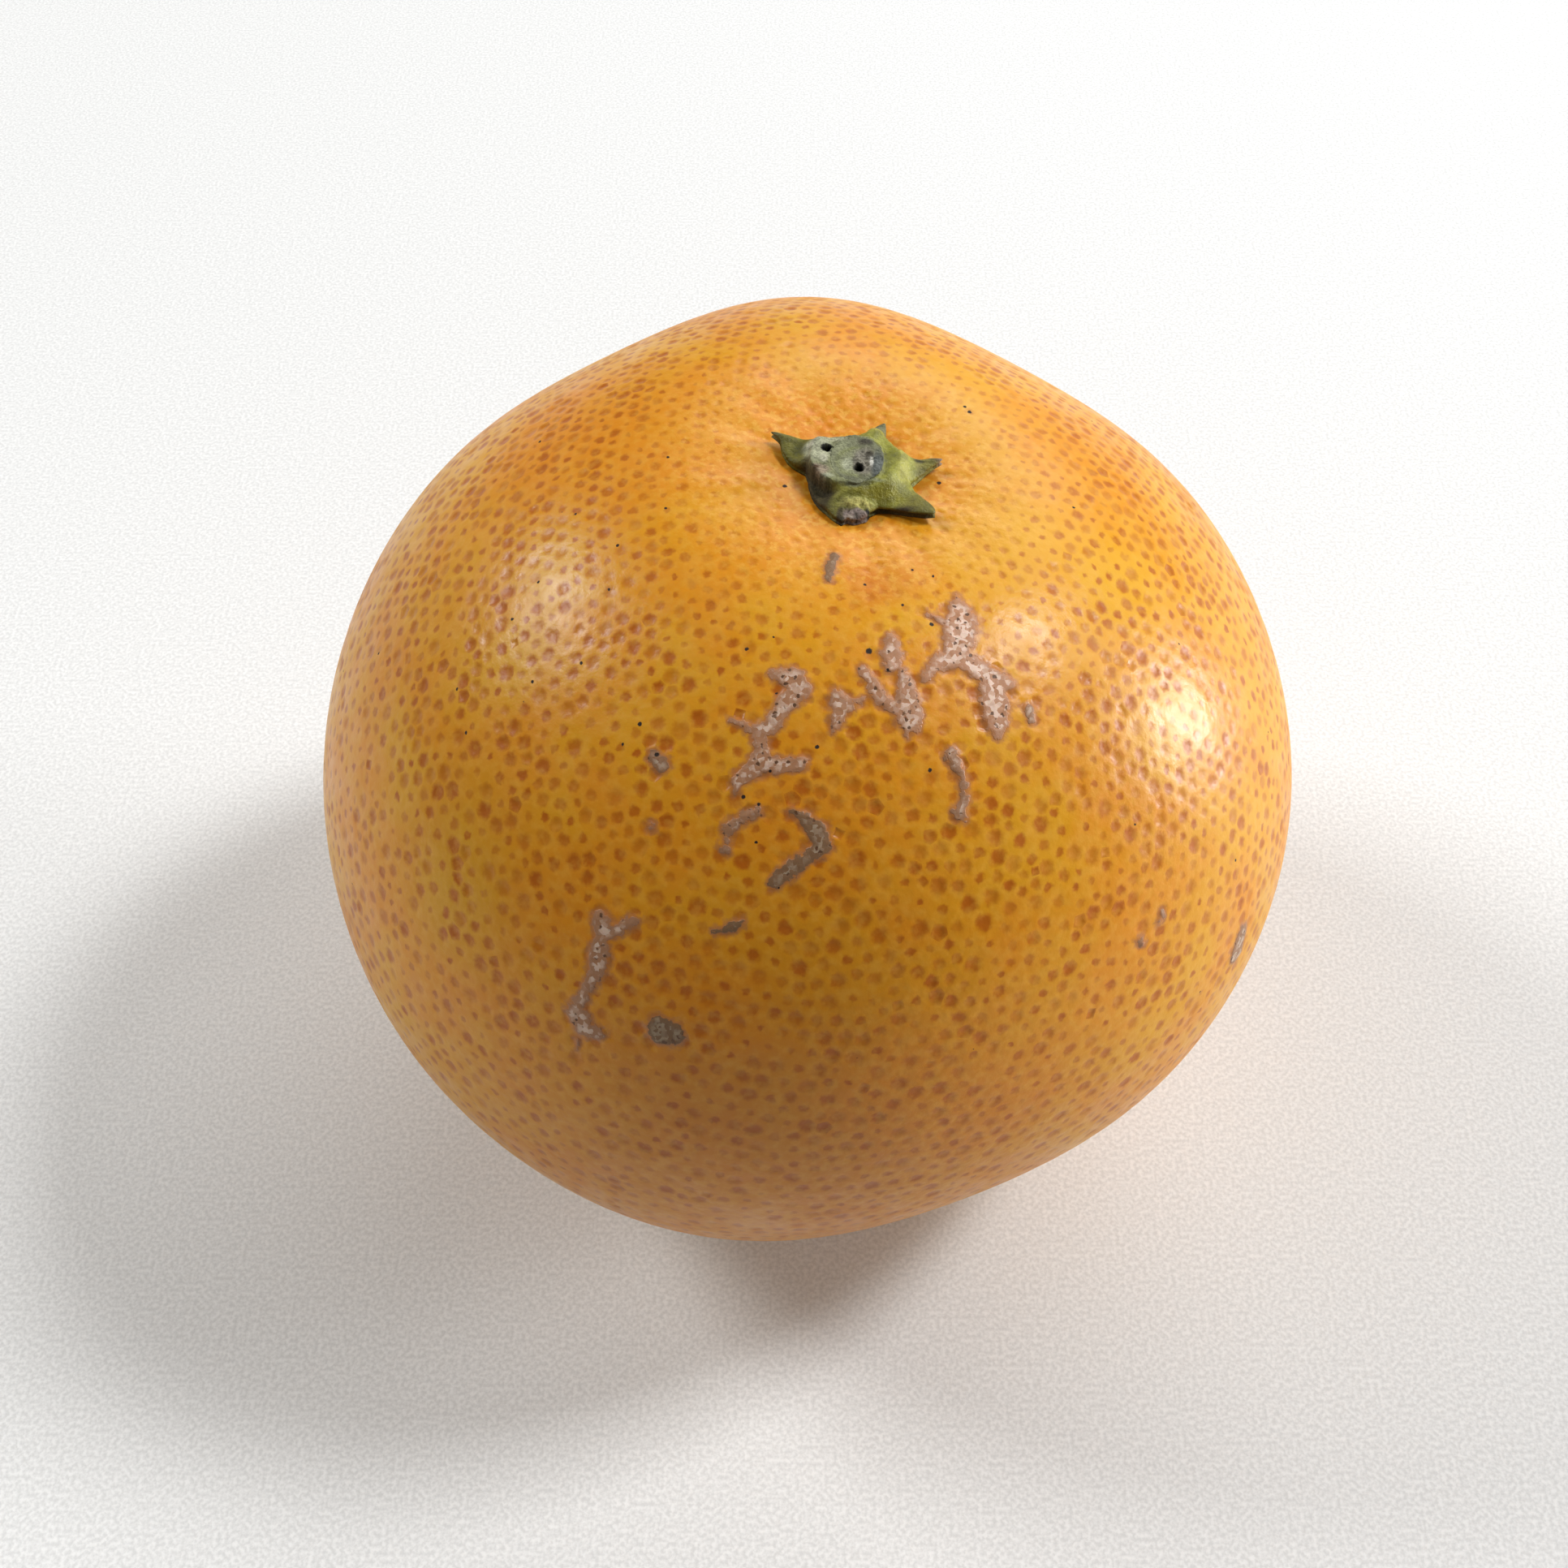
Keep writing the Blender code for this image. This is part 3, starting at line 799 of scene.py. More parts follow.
# %% [markdown]
# The finish puts the layers together. Wax makes the peel a little glossy, unevenly, and cork and specks
# are duller. A slight bump adds what is finer than the net: the skin's grain, the plates and the pits.
# Some light goes under the surface, as it does in all peel.

# %% Put the peel's finish together
GLOSS = (0.30, 0.42)  # the least and the greatest roughness of the waxy skin
CORK_DULLNESS = 0.12
SPECK_DULLNESS = 0.3
GRAIN_DEPTH = 0.05 * MM
PLATE_RELIEF = 1.6  # where the fine grain of the skin is 1


def peel_relief(tree, place, cork, plates, pits):
    grain = calc(tree, "MULTIPLY", noise_at(tree, place, 0.7), 1.5)
    height = calc(tree, "ADD", noise_at(tree, place, 2.2, 4.0), grain)
    height = calc(tree, "SUBTRACT", height, calc(tree, "MULTIPLY", pits, cork))
    raised = calc(tree, "MULTIPLY", calc(tree, "MULTIPLY", plates, PLATE_RELIEF), cork)
    return calc(tree, "ADD", height, raised)


def add_bump(tree, shader, height, strength, depth):
    bump = add(tree, "ShaderNodeBump")
    bump.inputs["Strength"].default_value = strength
    bump.inputs["Distance"].default_value = depth
    fill(tree, bump.inputs["Height"], height)
    fill(tree, shader.inputs["Normal"], bump.outputs[0])


def dress_peel(tree, shader):
    place = in_millimetres(tree)
    skin = with_glands(tree, place, ripe_and_shaded_ground(tree, place))
    skin, cork, plates, pits = with_scars(tree, place, skin)
    speck = speck_share(tree, place)
    fill(tree, shader.inputs["Base Color"], mixed(tree, speck, skin, SPECK))

    rough = ramp(tree, noise_at(tree, place, 0.5), 0.3, 0.7, *GLOSS)
    rough = calc(tree, "ADD", rough, calc(tree, "MULTIPLY", cork, CORK_DULLNESS))
    rough = calc(tree, "ADD", rough, calc(tree, "MULTIPLY", speck, SPECK_DULLNESS))
    fill(tree, shader.inputs["Roughness"], rough)
    add_bump(tree, shader, peel_relief(tree, place, cork, plates, pits), 0.5, GRAIN_DEPTH)
    shader.inputs["Specular IOR Level"].default_value = 0.30
    shader.inputs["Subsurface Weight"].default_value = 0.12
    shader.inputs["Subsurface Radius"].default_value = (1.0, 0.35, 0.1)
    shader.inputs["Subsurface Scale"].default_value = 0.8 * MM


dress_peel(peel_tree, peel_shader)
print("the peel's material has", len(peel_tree.nodes), "nodes")

# %% [markdown]
# ## Calyx
# The calyx is the green star that held the flower. Here five sepals are left round a thick button: a
# long one curls up on the left, a thin one points right, one bends down to the right, a small one
# stands at the top, and the lowest broke off blunt. Each outline point is an azimuth and a reach from
# the stem's axis. One closed sheet is spun from the outline: rows of points run out over the top, down
# the wall and back under. Its height follows the peel and adds the button, the raised ring on the right
# and the dry flat film on the left with its ledge.

# %% Outline and heights of the calyx
CALYX_OUTLINE = (  # azimuth in degrees, reach in millimetres
    (-20, 3.3), (-10, 3.6), (-1, 4.1), (4, 4.65), (7, 5.15), (10, 4.5), (12, 3.7), (14, 3.05),  # right sepal
    (30, 2.75), (44, 2.8), (55, 3.05), (60, 3.6), (64, 4.0), (70, 3.6), (76, 2.8),  # top sepal
    (90, 2.35), (106, 2.25), (122, 2.4), (136, 2.65), (145, 3.35), (150, 4.15), (154, 4.8),
    (157, 5.55), (158.5, 5.1), (160, 4.8), (168, 4.5), (176, 4.1), (182, 3.6), (189, 3.05),  # left sepal
    (200, 3.05), (215, 3.35), (229, 3.75), (236, 3.95),  # torn side
    (243, 4.1), (250, 4.4), (258, 4.7), (262, 4.35), (266, 4.5), (272, 4.3), (277, 4.15),
    (281, 3.7),  # broken sepal
    (290, 3.5), (299, 3.8), (305, 4.4), (309, 5.0), (313, 5.6), (318, 5.95), (321, 5.7),
    (325, 4.8), (331, 3.85),  # lower right sepal
)
TIP_LIFTS = (  # azimuth in degrees, reach and lift in millimetres
    (7, 5.2, 0.4), (64, 4.1, 0.4), (157, 5.6, 0.35), (314, 6.0, 0.45),
)
TIP_WIDTH = 26  # degrees to either side
LIFT_START = 3.0  # the sepals curl up from this reach on
OVER_PEEL = 0.3  # millimetres, as between the solids of the frame
BUTTON = 1.15  # thickness of the button
SEPAL = 0.4  # thickness of a sepal
BUTTON_EDGE = 2.5  # reach where the button starts to slope down to the sepals
BUTTON_SLOPE = 1.5
RING_SIDE = (-8, 80)  # azimuth and half width of the raised ring, in degrees
RING_REACH = 2.55
RING_WIDTH = 0.42
RING_HEIGHT = 0.30
FILM_MIDDLE = (-0.65, -0.35)
FILM_HALF = (2.2, 2.15)
FILM_SQUARENESS = 3.5  # 2 would be an ellipse
FILM_STEP = 0.2
LEDGE = 0.06  # width of the film's and the pocket's ledges, as a share of their halves
HOLE = (-1.75, 0.4)
HOLE_HALF = (0.38, 0.34)
HOLE_DEPTH = 1.0
POCKET_HALF = (1.50, 1.80)  # of the pocket that the stalk grew out of
POCKET_DEPTH = 0.45
CRUMBS = (-3.0, -4.8)  # the broken sepal's crumbs lie between these two places on y
TORN_SIDE = (215, 30)  # azimuth and half width, in degrees
CLIFF_EDGE = 2.78
CLIFF_WIDTH = 0.32
CLIFF_FOOT = 0.15
THINNEST = 0.06
ROUNDED_FROM = 1.6  # the edge is rounded off beyond this reach
TISSUE_GRAIN = 0.9
TISSUE_ROUGHNESS = 0.05


def turn_between(first, second):
    """The angle from one azimuth to another, between -180 and 180 degrees."""
    return (first - second + 180) % 360 - 180


def calyx_reach(azimuths):
    """How far the calyx's edge lies from the stem's axis, in millimetres."""
    corners = np.array(CALYX_OUTLINE)
    return np.interp(azimuths, corners[:, 0], corners[:, 1], period=360)


def rough_at(place, grain):
    """Two octaves of noise at a place, about -1 to 1, with a grain in millimetres."""
    place = Vector(place) / grain
    return noise.noise(place) + 0.5 * noise.noise(place * 2.1)


def lift_at(azimuth, reach):
    """How far the curled tips lift a place."""
    total = 0.0
    for tip_azimuth, tip_reach, lift in TIP_LIFTS:
        outwards = smooth_share((reach - LIFT_START) / (tip_reach - LIFT_START))
        total += lift * outwards * exp(-(turn_between(azimuth, tip_azimuth) / TIP_WIDTH) ** 2)
    return total


def torn_at(azimuth):
    """1 in the middle of the side where the button is torn open, falling to 0 beside it."""
    return np.exp(-(turn_between(azimuth, TORN_SIDE[0]) / TORN_SIDE[1]) ** 6)


def cliff_at(azimuth, reach):
    """How far down the torn cliff a place lies, from 0 on the button to 1 at its foot."""
    return torn_at(azimuth) * smooth_share((reach - CLIFF_EDGE) / CLIFF_WIDTH)


def film_step(x, y, wander):
    """The dry film lies a step above the button."""
    aside = abs((x - FILM_MIDDLE[0]) / FILM_HALF[0])
    ahead = abs((y - FILM_MIDDLE[1]) / FILM_HALF[1])
    film = (aside ** FILM_SQUARENESS + ahead ** FILM_SQUARENESS) ** (1 / FILM_SQUARENESS) + wander
    return FILM_STEP * smooth_share((1.0 - film) / LEDGE)


def raised_ring(azimuth, reach):
    on_ring = exp(-(turn_between(azimuth, RING_SIDE[0]) / RING_SIDE[1]) ** 4)
    return on_ring * RING_HEIGHT * exp(-((reach - RING_REACH) / RING_WIDTH) ** 2)


def stalk_pocket(x, y):
    across = (x + STUB_TO_STEM.x / MM) / POCKET_HALF[0]
    along = (y + STUB_TO_STEM.y / MM) / POCKET_HALF[1]
    return POCKET_DEPTH * smooth_share((1.0 - hypot(across, along)) / LEDGE)


def film_hole(x, y, wander):
    hole = abs(x - HOLE[0]) / HOLE_HALF[0] + abs(y - HOLE[1]) / HOLE_HALF[1] + 2.5 * wander
    return HOLE_DEPTH * smooth_share((1.1 - hole) / 0.25)


def sepal_crumbs(x, y):
    within = smooth_share((CRUMBS[0] - y) / 0.3) * smooth_share((y - CRUMBS[1]) / 0.4)
    return within * exp(-(x + 0.1) ** 4) * (0.14 + 0.34 * rough_at((x, y, 3.0), 0.35))


def calyx_top(x, y, edge):
    """The thickness of the calyx over the peel, from the place and how near the edge it is, 0 to 1."""
    azimuth, reach = degrees(atan2(y, x)), hypot(x, y)
    torn = torn_at(azimuth)
    slope = smooth_share((reach - BUTTON_EDGE) / BUTTON_SLOPE) * (1 - torn)
    thickness = SEPAL + (BUTTON - SEPAL) * (1 - slope)
    wander = TISSUE_ROUGHNESS * rough_at((x, y, 0.0), TISSUE_GRAIN)
    thickness += film_step(x, y, wander)
    thickness += raised_ring(azimuth, reach)
    thickness -= stalk_pocket(x, y)
    thickness -= film_hole(x, y, wander)
    thickness += sepal_crumbs(x, y)
    thickness += TISSUE_ROUGHNESS * rough_at((x, y, 7.0), TISSUE_GRAIN)
    cliff = cliff_at(azimuth, reach + 0.08 * rough_at((x, y, 9.0), 0.3))
    thickness -= cliff * (thickness - CLIFF_FOOT)
    if reach <= ROUNDED_FROM:
        return thickness
    rounding = max(0.0, 1 - edge ** (4 + 30 * torn)) ** 0.5
    return max(THINNEST, thickness) * (0.2 + 0.8 * rounding)


# %% [markdown]
# A closed sheet like this one is needed twice, for the calyx and for the cut stalk in its middle, so
# one function spins it. Rows run from the middle of the top to the middle of the underside, and every
# quad between two rows is wound the same way, which keeps all faces pointing out.

# %% Spin a closed star
def spun_star(name, middle, reach_at, heights, spokes, rows):
    """A closed mesh of rows round a middle. Each row is a share of the reach, and 1 on top or 0 below."""
    azimuths = np.arange(spokes) * 360 / spokes
    reaches = reach_at(azimuths)
    points = [heights(middle, 0.0, 0.0, 0.0, 1.0)]
    for share, level in rows:
        for azimuth, reach in zip(azimuths, reaches):
            points.append(heights(middle, azimuth, reach * share, share, level))
    points.append(heights(middle, 0.0, 0.0, 0.0, 0.0))
    starts = [1 + number * spokes for number in range(len(rows))]
    faces = []
    for spoke in range(spokes):
        following = (spoke + 1) % spokes
        faces.append((0, starts[0] + spoke, starts[0] + following))
        for row, below in zip(starts, starts[1:]):
            faces.append((row + spoke, below + spoke, below + following, row + following))
        faces.append((starts[-1] + following, starts[-1] + spoke, len(points) - 1))
    mesh = bpy.data.meshes.new(name)
    mesh.from_pydata(points, [], faces)
    mesh.shade_smooth()
    return new_object(name, mesh)


def star_rows(top, wall, under):
    """Rows out over the top, down the wall and back under."""
    rows = [((number + 1) / top, 1.0) for number in range(top)]
    rows += [(1.0, 1 - (number + 1) / wall) for number in range(wall)]
    return rows + [(1 - (number + 1) / under, 0.0) for number in range(under - 1)]


def peel_height(x, y):
    """How high the smooth body's top lies at a place."""
    return body_tree.ray_cast(Vector((x, y, 0.1)), Vector((0, 0, -1)))[0].z


def calyx_heights(middle, azimuth, reach, share, level):
    """A point of the calyx in the scene, from its azimuth and its reach in millimetres."""
    x, y = reach * cos(radians(azimuth)), reach * sin(radians(azimuth))
    skin = peel_height(middle.x + x * MM, middle.y + y * MM) / MM
    lift = lift_at(azimuth, reach)
    below = 0.02 + lift - 0.9 * (1 - smooth_share((reach - 1.1) / 0.4))
    above = OVER_PEEL + lift + calyx_top(x, y, share)
    if 0.0 < level < 1.0:
        push = 0.12 * rough_at((x, y, 4 * level), 0.5) - 0.15 * sin(pi * level)
        x += push * cos(radians(azimuth))
        y += push * sin(radians(azimuth))
    height = below + (above - below) * level
    return (middle.x + x * MM, middle.y + y * MM, (skin + height) * MM)


CALYX_SPOKES = 300
CALYX_ROWS = star_rows(54, 9, 16)
calyx = spun_star("calyx_star", stem_axis, calyx_reach, calyx_heights, CALYX_SPOKES, CALYX_ROWS)
print("the calyx has", len(calyx.data.polygons), "faces")

# %% [markdown]
# ## Colours of the calyx
# Fresh tissue is yellow-green on the raised ring and olive on the sepals, and where it died it is grey,
# brown or nearly black. The dark edge and side of the lower right sepal are painted shade. These colours
# don't follow a formula, so they are painted: each zone is a soft oval with a place, a size and a colour,
# laid over the ones before it, with its edge bent by noise. The result is a colour attribute on the
# points, and the material adds the fine grain.

# %% Paint zones of tissue
Zone = namedtuple("Zone", "x y across along soft colour dryness")
OLIVE = (0.130, 0.120, 0.016)
YELLOW_GREEN = (0.245, 0.245, 0.042)
CALYX_ZONES = (
    Zone(-3.9, 1.0, 2.6, 1.9, 0.3, (0.120, 0.110, 0.011), 0.3),  # left sepal
    Zone(-3.3, 0.9, 0.5, 0.6, 0.5, (0.075, 0.072, 0.008), 0.3),
    Zone(-5.0, 2.2, 0.7, 0.5, 0.5, (0.125, 0.115, 0.045), 0.7),  # its tip
    Zone(4.0, 0.1, 1.3, 1.3, 0.3, (0.200, 0.180, 0.040), 0.3),  # right sepal
    Zone(3.6, 0.45, 0.42, 0.15, 0.4, (0.040, 0.036, 0.008), 0.5),  # dark spot on it
    Zone(5.0, 0.65, 0.40, 0.25, 0.6, (0.200, 0.135, 0.090), 0.9),  # its dry tip
    Zone(1.5, 3.3, 0.8, 0.8, 0.4, (0.125, 0.125, 0.060), 0.6),  # top sepal
    Zone(3.9, -3.1, 1.7, 1.4, 0.4, (0.150, 0.135, 0.022), 0.3),  # lower right sepal
    Zone(0.6, -0.6, 3.0, 2.95, 0.12, YELLOW_GREEN, 0.1),  # raised ring
    Zone(2.0, 1.2, 0.5, 0.9, 0.5, (0.200, 0.200, 0.020), 0.1),
    Zone(2.7, -0.6, 0.35, 1.5, 0.5, (0.300, 0.290, 0.055), 0.1),  # pale crest of the ring
    Zone(1.0, 2.3, 1.1, 0.25, 0.5, (0.260, 0.250, 0.040), 0.1),
    Zone(1.9, -2.6, 0.9, 0.45, 0.5, (0.190, 0.175, 0.012), 0.1),
    Zone(0.0, -2.75, 2.2, 0.35, 0.5, (0.185, 0.170, 0.018), 0.1),  # olive hollow below the ledge
    Zone(-1.2, -2.9, 0.8, 0.6, 0.4, (0.220, 0.210, 0.034), 0.3),
    Zone(-0.1, -3.42, 0.90, 0.30, 0.35, (0.380, 0.350, 0.105), 0.9),  # crumbs of the broken sepal
    Zone(-0.2, -4.15, 0.85, 0.42, 0.25, (0.210, 0.165, 0.145), 1.0),  # its fleshy end
    Zone(-0.10, -4.20, 0.10, 0.20, 0.5, (0.040, 0.030, 0.020), 0.9),
    Zone(-0.50, -4.30, 0.30, 0.12, 0.5, (0.330, 0.270, 0.220), 1.0),
    Zone(2.30, -3.65, 0.95, 0.24, 0.5, (0.050, 0.035, 0.015), 0.7),  # painted shade under the lower right sepal's raised edge
    Zone(-1.05, -4.25, 0.22, 0.55, 0.4, (0.055, 0.042, 0.020), 0.8),
    Zone(0.58, -3.80, 0.20, 0.18, 0.4, (0.006, 0.006, 0.006), 0.9),
    Zone(FILM_MIDDLE[0], FILM_MIDDLE[1], 2.25, 2.2, 0.07, (0.165, 0.170, 0.085), 0.8),  # dry film
    Zone(-2.3, 0.4, 0.80, 1.1, 0.30, (0.310, 0.315, 0.210), 1.0),  # whitish part of it
    Zone(-2.70, 0.80, 0.20, 0.25, 0.5, (0.400, 0.390, 0.290), 1.0),
    Zone(-1.95, -0.50, 0.22, 0.35, 0.5, (0.380, 0.375, 0.270), 1.0),
    Zone(-1.3, 1.20, 0.75, 0.22, 0.5, (0.300, 0.300, 0.190), 1.0),
    Zone(-0.6, -2.05, 1.6, 0.30, 0.5, (0.115, 0.120, 0.050), 0.6),
    Zone(0.2, -2.12, 1.3, 0.10, 0.5, (0.270, 0.285, 0.150), 0.9),
    Zone(-1.9, -1.95, 0.5, 0.18, 0.5, (0.290, 0.300, 0.200), 1.0),
    Zone(-2.3, -1.5, 0.60, 0.45, 0.4, (0.250, 0.200, 0.140), 1.0),  # frayed brown edge
    Zone(-2.45, -1.3, 0.25, 0.14, 0.5, (0.060, 0.030, 0.012), 1.0),
    Zone(HOLE[0], HOLE[1], 0.36, 0.34, 0.2, (0.006, 0.006, 0.004), 1.0),
)
# brown of dead tissue on the torn side, and painted shade on the side of the lower right sepal
DEAD_AND_SHADED_WALL = (0.050, 0.040, 0.016)
SHADED_SIDE = (300, 19)  # azimuth and half width of the lower right sepal's side, painted dark as shade, in degrees
LIVING = 0.3  # dryness of living tissue
WALL_DRYNESS = 0.9
ZONE_WANDER = 0.12  # how far the noise moves a zone's edge, as a share of its size


def painted(thing, middle, ground, zones, wall=None):
    """Give a piece the colours and the dryness of its zones."""
    places = coordinates(thing.data) / MM - np.array([middle.x / MM, middle.y / MM, 0.0])
    colours = np.tile(np.array(ground, dtype=float), (len(places), 1))
    dryness = np.full(len(places), LIVING)
    wander = np.array([rough_at((x, y, 11.0), 0.55) for x, y, z in places])
    for zone in zones:
        across = (places[:, 0] - zone.x) / zone.across
        along = (places[:, 1] - zone.y) / zone.along
        beyond = np.hypot(across, along) + ZONE_WANDER * wander
        weight = smooth_share((1 + zone.soft - beyond) / (2 * zone.soft))
        colours += (np.array(zone.colour) - colours) * weight[:, None]
        dryness += (zone.dryness - dryness) * weight
    if wall is not None:
        colours += (np.array(wall[0]) - colours) * wall[1][:, None]
        dryness += (WALL_DRYNESS - dryness) * wall[1]
    tissue = np.column_stack([colours, np.ones(len(places))])
    add_numbers(thing.data, "tissue", tissue, kind="FLOAT_COLOR", field="color")
    add_numbers(thing.data, "dryness", dryness)


def wall_share(spokes, rows):
    """How much each point of the calyx has the dark wall colour: dead brown on the torn side, painted shade
    under one sepal.
    """
    azimuths = np.arange(spokes) * 360 / spokes
    shaded = np.exp(-(turn_between(azimuths, SHADED_SIDE[0]) / SHADED_SIDE[1]) ** 6)
    wall = np.maximum(torn_at(azimuths), shaded)
    shares = [np.zeros(1)]
    for share, level in rows:
        cliff = cliff_at(azimuths, share * calyx_reach(azimuths) + 0.05)
        shares.append(np.minimum(1.0, 1.5 * cliff) if level == 1.0 else wall)
    return np.concatenate(shares + [np.zeros(1)])


painted(calyx, stem_axis, OLIVE, CALYX_ZONES, (DEAD_AND_SHADED_WALL, wall_share(CALYX_SPOKES, CALYX_ROWS)))

# %% [markdown]
# ## Cut stalk
# The clippers left an oval of wood and bark level with the film: a bluish outer ring, darker on the
# right with painted shade, a pale green inner oval and a grey crumbly middle with a hole where the pith
# dried out.

# %% Cut stalk
STUB_MIDDLE = stem_axis - STUB_TO_STEM
STUB_HALF = (1.6, 1.92)  # millimetres
PITH_HOLE = (0.18, -0.68)
STUB_DEPTH = 0.7  # how far the sides go down into the pocket
STUB_SPOKES = 160
STUB_ROWS = star_rows(40, 6, 5)
STUB_GROUND = (0.150, 0.155, 0.085)
STUB_ZONES = (
    Zone(-0.9, 0.3, 0.9, 1.4, 0.3, (0.200, 0.210, 0.120), 0.8),
    Zone(0.0, -0.2, 1.15, 1.30, 0.15, (0.150, 0.160, 0.065), 0.8),
    Zone(-0.10, -0.25, 0.90, 1.00, 0.20, (0.225, 0.235, 0.130), 0.7),
    Zone(-0.45, -0.35, 0.34, 0.50, 0.4, (0.370, 0.385, 0.260), 0.7),
    Zone(0.5, -0.2, 0.72, 1.15, 0.3, (0.190, 0.175, 0.135), 1.0),
    # bluish-grey rim on the right: painted shade where the cut's edge lies below the calyx's raised ring
    Zone(1.3, -0.7, 0.40, 1.2, 0.4, (0.095, 0.105, 0.095), 0.8),
    Zone(0.92, -0.22, 0.10, 0.42, 0.4, (0.620, 0.610, 0.540), 1.0),
    Zone(0.6, 1.45, 0.45, 0.25, 0.5, (0.075, 0.068, 0.045), 1.0),
    Zone(0.80, 0.42, 0.22, 0.25, 0.5, (0.050, 0.043, 0.028), 1.0),
    Zone(PITH_HOLE[0], PITH_HOLE[1], 0.30, 0.32, 0.2, (0.008, 0.007, 0.005), 1.0),
)


def stub_reach(azimuths):
    """A slightly uneven oval."""
    turns = np.radians(azimuths)
    oval = 1 / np.hypot(np.cos(turns) / STUB_HALF[0], np.sin(turns) / STUB_HALF[1])
    return oval * (1 + 0.02 * np.sin(3 * turns + 1) + 0.015 * np.sin(7 * turns))


def stub_heights(middle, azimuth, reach, share, level):
    """A point of the cut end in the scene: rings, a crumbly middle and the pith's hole."""
    x, y = reach * cos(radians(azimuth)), reach * sin(radians(azimuth))
    base = peel_height(stem_axis.x, stem_axis.y) / MM + OVER_PEEL + BUTTON + FILM_STEP
    surface = 0.04 + 0.03 * cos(8 * share ** 1.3) + 0.06 * smooth_share(x / STUB_HALF[0])
    crumbs = exp(-((x - 0.5) ** 2 + (y + 0.2) ** 2) / 0.8)
    surface += 0.22 * crumbs * rough_at((x, y, 1.0), 0.35) + 0.03 * rough_at((x, y, 4.0), 0.5)
    hole = hypot((x - PITH_HOLE[0]) / 0.26, (y - PITH_HOLE[1]) / 0.28) + 0.2 * rough_at((x, y, 6.0), 0.3)
    surface -= 0.7 * smooth_share((1.2 - hole) / 0.4)
    return (middle.x + x * MM, middle.y + y * MM, (base + surface * level - STUB_DEPTH * (1 - level)) * MM)


stub = spun_star("stalk_cut", STUB_MIDDLE, stub_reach, stub_heights, STUB_SPOKES, STUB_ROWS)
painted(stub, STUB_MIDDLE, STUB_GROUND, STUB_ZONES)
print("the stalk's cut end has", len(stub.data.polygons), "faces")

# %% [markdown]
# Both pieces take their colour from the painted attribute. Noise at two scales breaks it up: a mottle
# as wide as the cells of the tissue, and a fine grain that is stronger where the tissue is dry. Living
# tissue is a little glossy and dry tissue is dull.

# %% Materials of the calyx and the stalk
def dress_tissue(name, mottle, grain_depth):
    tree, shader, material = new_material(name)
    place = in_millimetres(tree)
    colour = attribute(tree, "tissue", "Color")
    dryness = attribute(tree, "dryness")
    shade = ramp(tree, noise_at(tree, place, 1.7, 4.0), 0.3, 0.7, 1 - mottle, 1 + mottle)
    grain = noise_at(tree, place, 7.0, 3.0)
    fine = ramp(tree, grain, 0.3, 0.7, -0.3, 0.3)
    shade = calc(tree, "ADD", shade, calc(tree, "MULTIPLY", fine, dryness))
    tinted = vector(tree, "SCALE", colour, None)
    fill(tree, tinted.node.inputs["Scale"], shade)
    fill(tree, shader.inputs["Base Color"], tinted)
    fill(tree, shader.inputs["Roughness"], ramp(tree, dryness, 0.0, 1.0, 0.42, 0.8))
    shader.inputs["Specular IOR Level"].default_value = 0.3
    add_bump(tree, shader, grain, 0.6, grain_depth)
    return material


calyx.data.materials.append(dress_tissue("fine_calyx", 0.28, 0.12 * MM))
stub.data.materials.append(dress_tissue("fine_stalk", 0.25, 0.16 * MM))

# %% [markdown]
# ## Floor and light
# The fruit lies on a pale table. Windows on the right and on the left light it from the sides and from
# behind, and the room fills in softly. Where each lamp stands was worked out from the photograph: the
# peel's normal at a highlight halves the angle between the camera and the lamp, and a shadow's edge
# runs straight away from it.

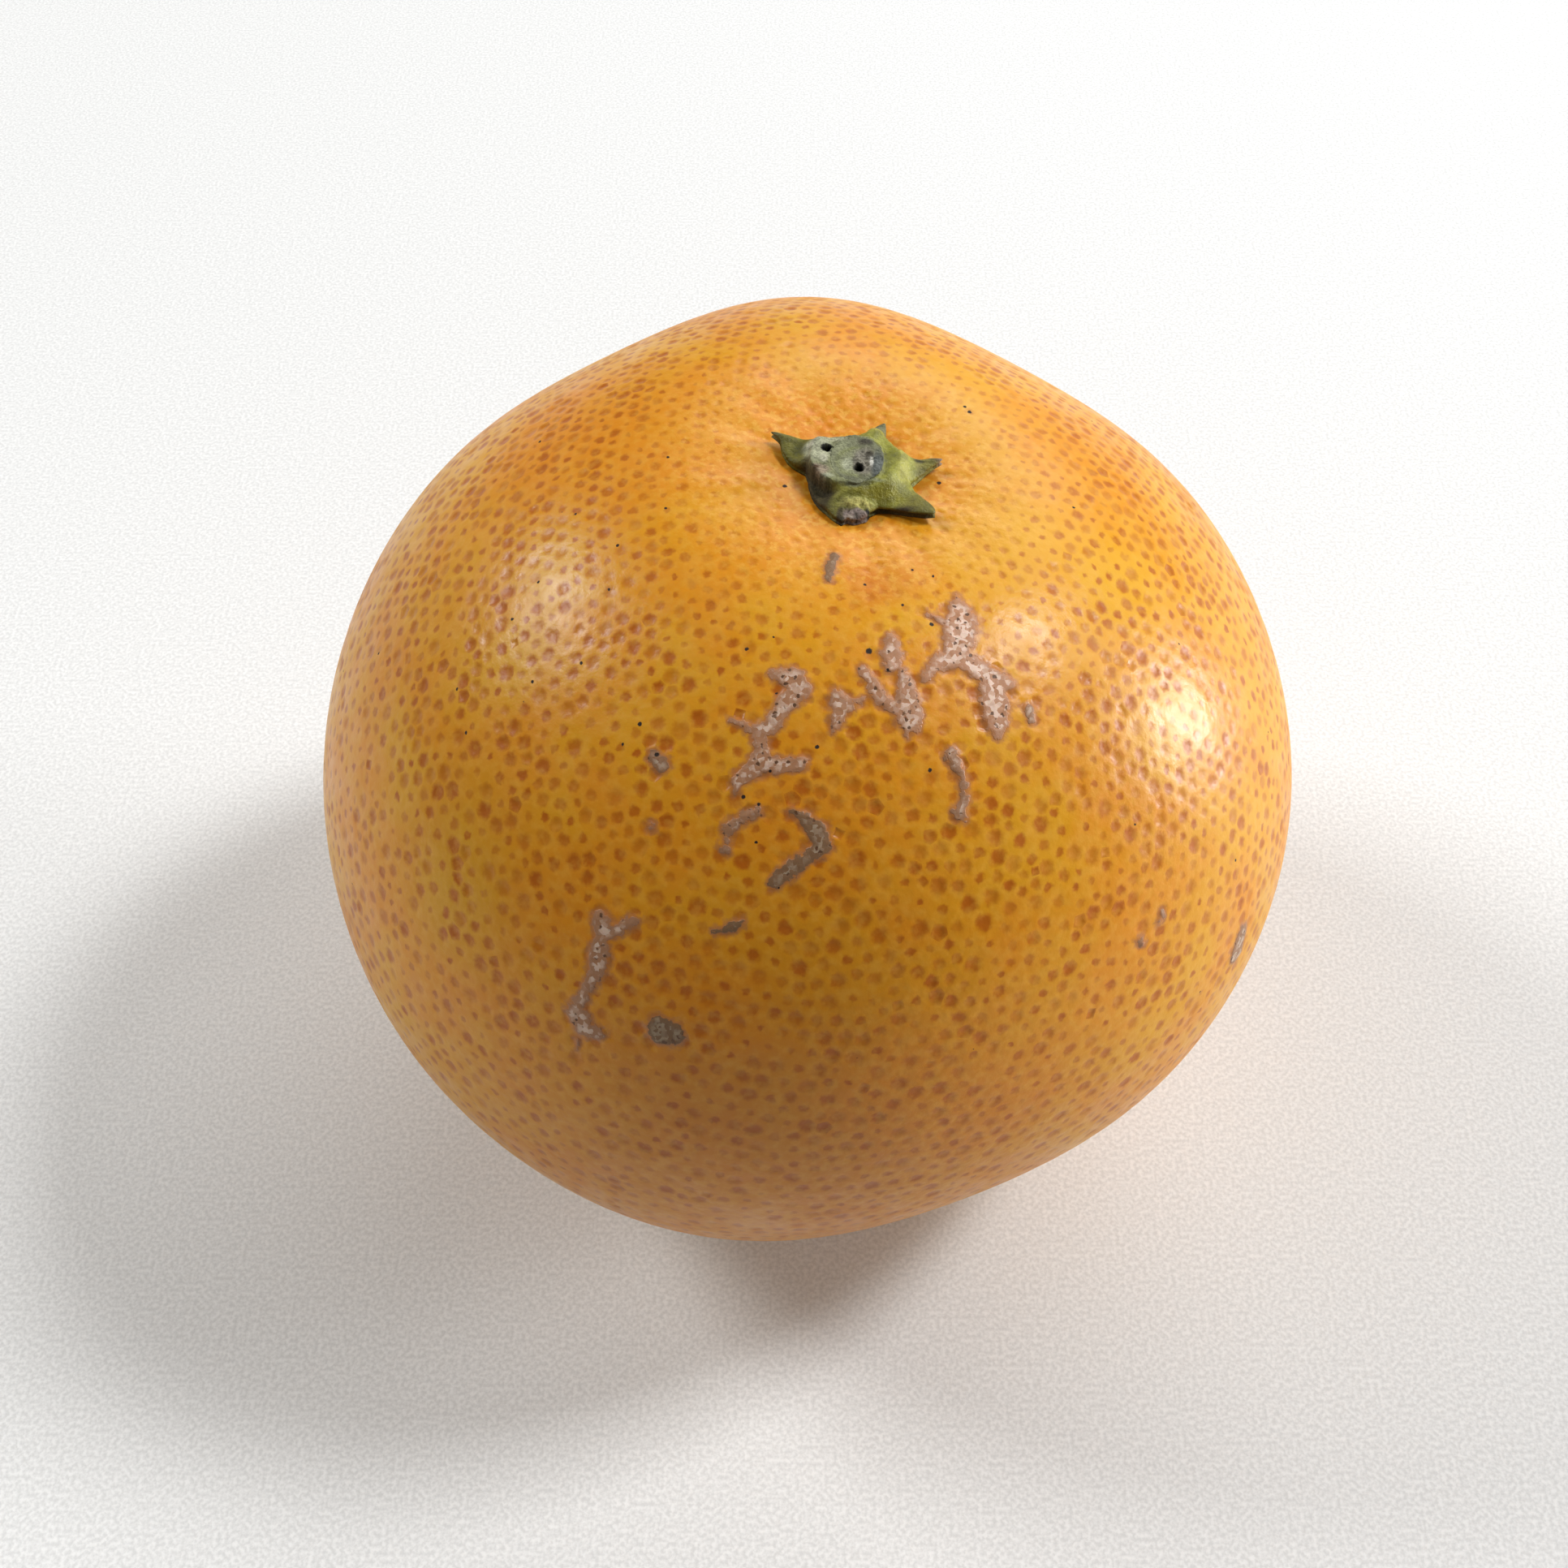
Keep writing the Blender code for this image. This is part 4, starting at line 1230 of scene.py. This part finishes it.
# %% Floor and light
FLOOR_SIZE = 3.0  # metres
FLOOR_DARK = (0.68, 0.69, 0.69, 1)
FLOOR_PALE = (0.86, 0.87, 0.87, 1)
FLOOR_ROUGHNESS = 0.6
ROOM_TINT = (1.0, 0.96, 0.91, 1)
ROOM_STRENGTH = 0.15
LAMP_DISTANCE = 2.0  # metres from the fruit's middle
LAMPS = (  # name, azimuth and height in degrees, size in metres, power in watts, colour
    ("right_window", 9, 7, (0.45, 0.80), 38, (1.0, 1.0, 1.0)),
    ("right_high_window", 16, 50, (0.4, 0.4), 23, (1.0, 1.0, 1.0)),
    ("back_window", 70, 32, (1.4, 0.9), 13, (1.0, 1.0, 1.0)),
    ("left_window", 157, 39, (0.6, 0.4), 21, (1.0, 0.99, 0.97)),
)


def make_floor():
    bpy.ops.mesh.primitive_plane_add(size=FLOOR_SIZE)
    floor = bpy.context.object
    floor.name = "floor"
    tree, shader, material = new_material("floor")
    place = in_millimetres(tree)
    grain = ramp(tree, noise_at(tree, place, 3.4, 5.0), 0.3, 0.7)
    fill(tree, shader.inputs["Base Color"], mixed(tree, grain, FLOOR_DARK, FLOOR_PALE))
    shader.inputs["Roughness"].default_value = FLOOR_ROUGHNESS
    floor.data.materials.append(material)


def add_lamp(name, azimuth, height, size, power, colour):
    """A flat rectangular lamp that faces the fruit's middle."""
    light = bpy.data.lights.new(name, "AREA")
    light.shape = "RECTANGLE"
    light.size, light.size_y = size
    light.energy = power
    light.color = colour
    thing = bpy.data.objects.new(name, light)
    scene.collection.objects.link(thing)
    azimuth, height = radians(azimuth), radians(height)
    way = Vector((cos(azimuth) * cos(height), sin(azimuth) * cos(height), sin(height)))
    thing.location = MIDDLE + way * LAMP_DISTANCE
    thing.rotation_euler = way.to_track_quat("Z", "Y").to_euler()


def light_room():
    world = bpy.data.worlds.new("room")
    scene.world = world
    world.use_nodes = True
    background = world.node_tree.nodes["Background"]
    background.inputs["Color"].default_value = ROOM_TINT
    background.inputs["Strength"].default_value = ROOM_STRENGTH
    for lamp in LAMPS:
        add_lamp(*lamp)
    scene.view_settings.view_transform = "Standard"


make_floor()
light_room()
print(len(LAMPS), "lamps stand round the fruit")

# %% [markdown]
# ## Hand over
# Each piece takes the place of its solid in the frame and moves with it. The body form goes.

# %% Hand over
bpy.data.objects.remove(body)
for piece, node, slot in ((peel, "fruit", "peel"), (calyx, "calyx", "calyx"), (stub, "stalk_stub", "stalk")):
    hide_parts(node)
    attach(piece, "root")
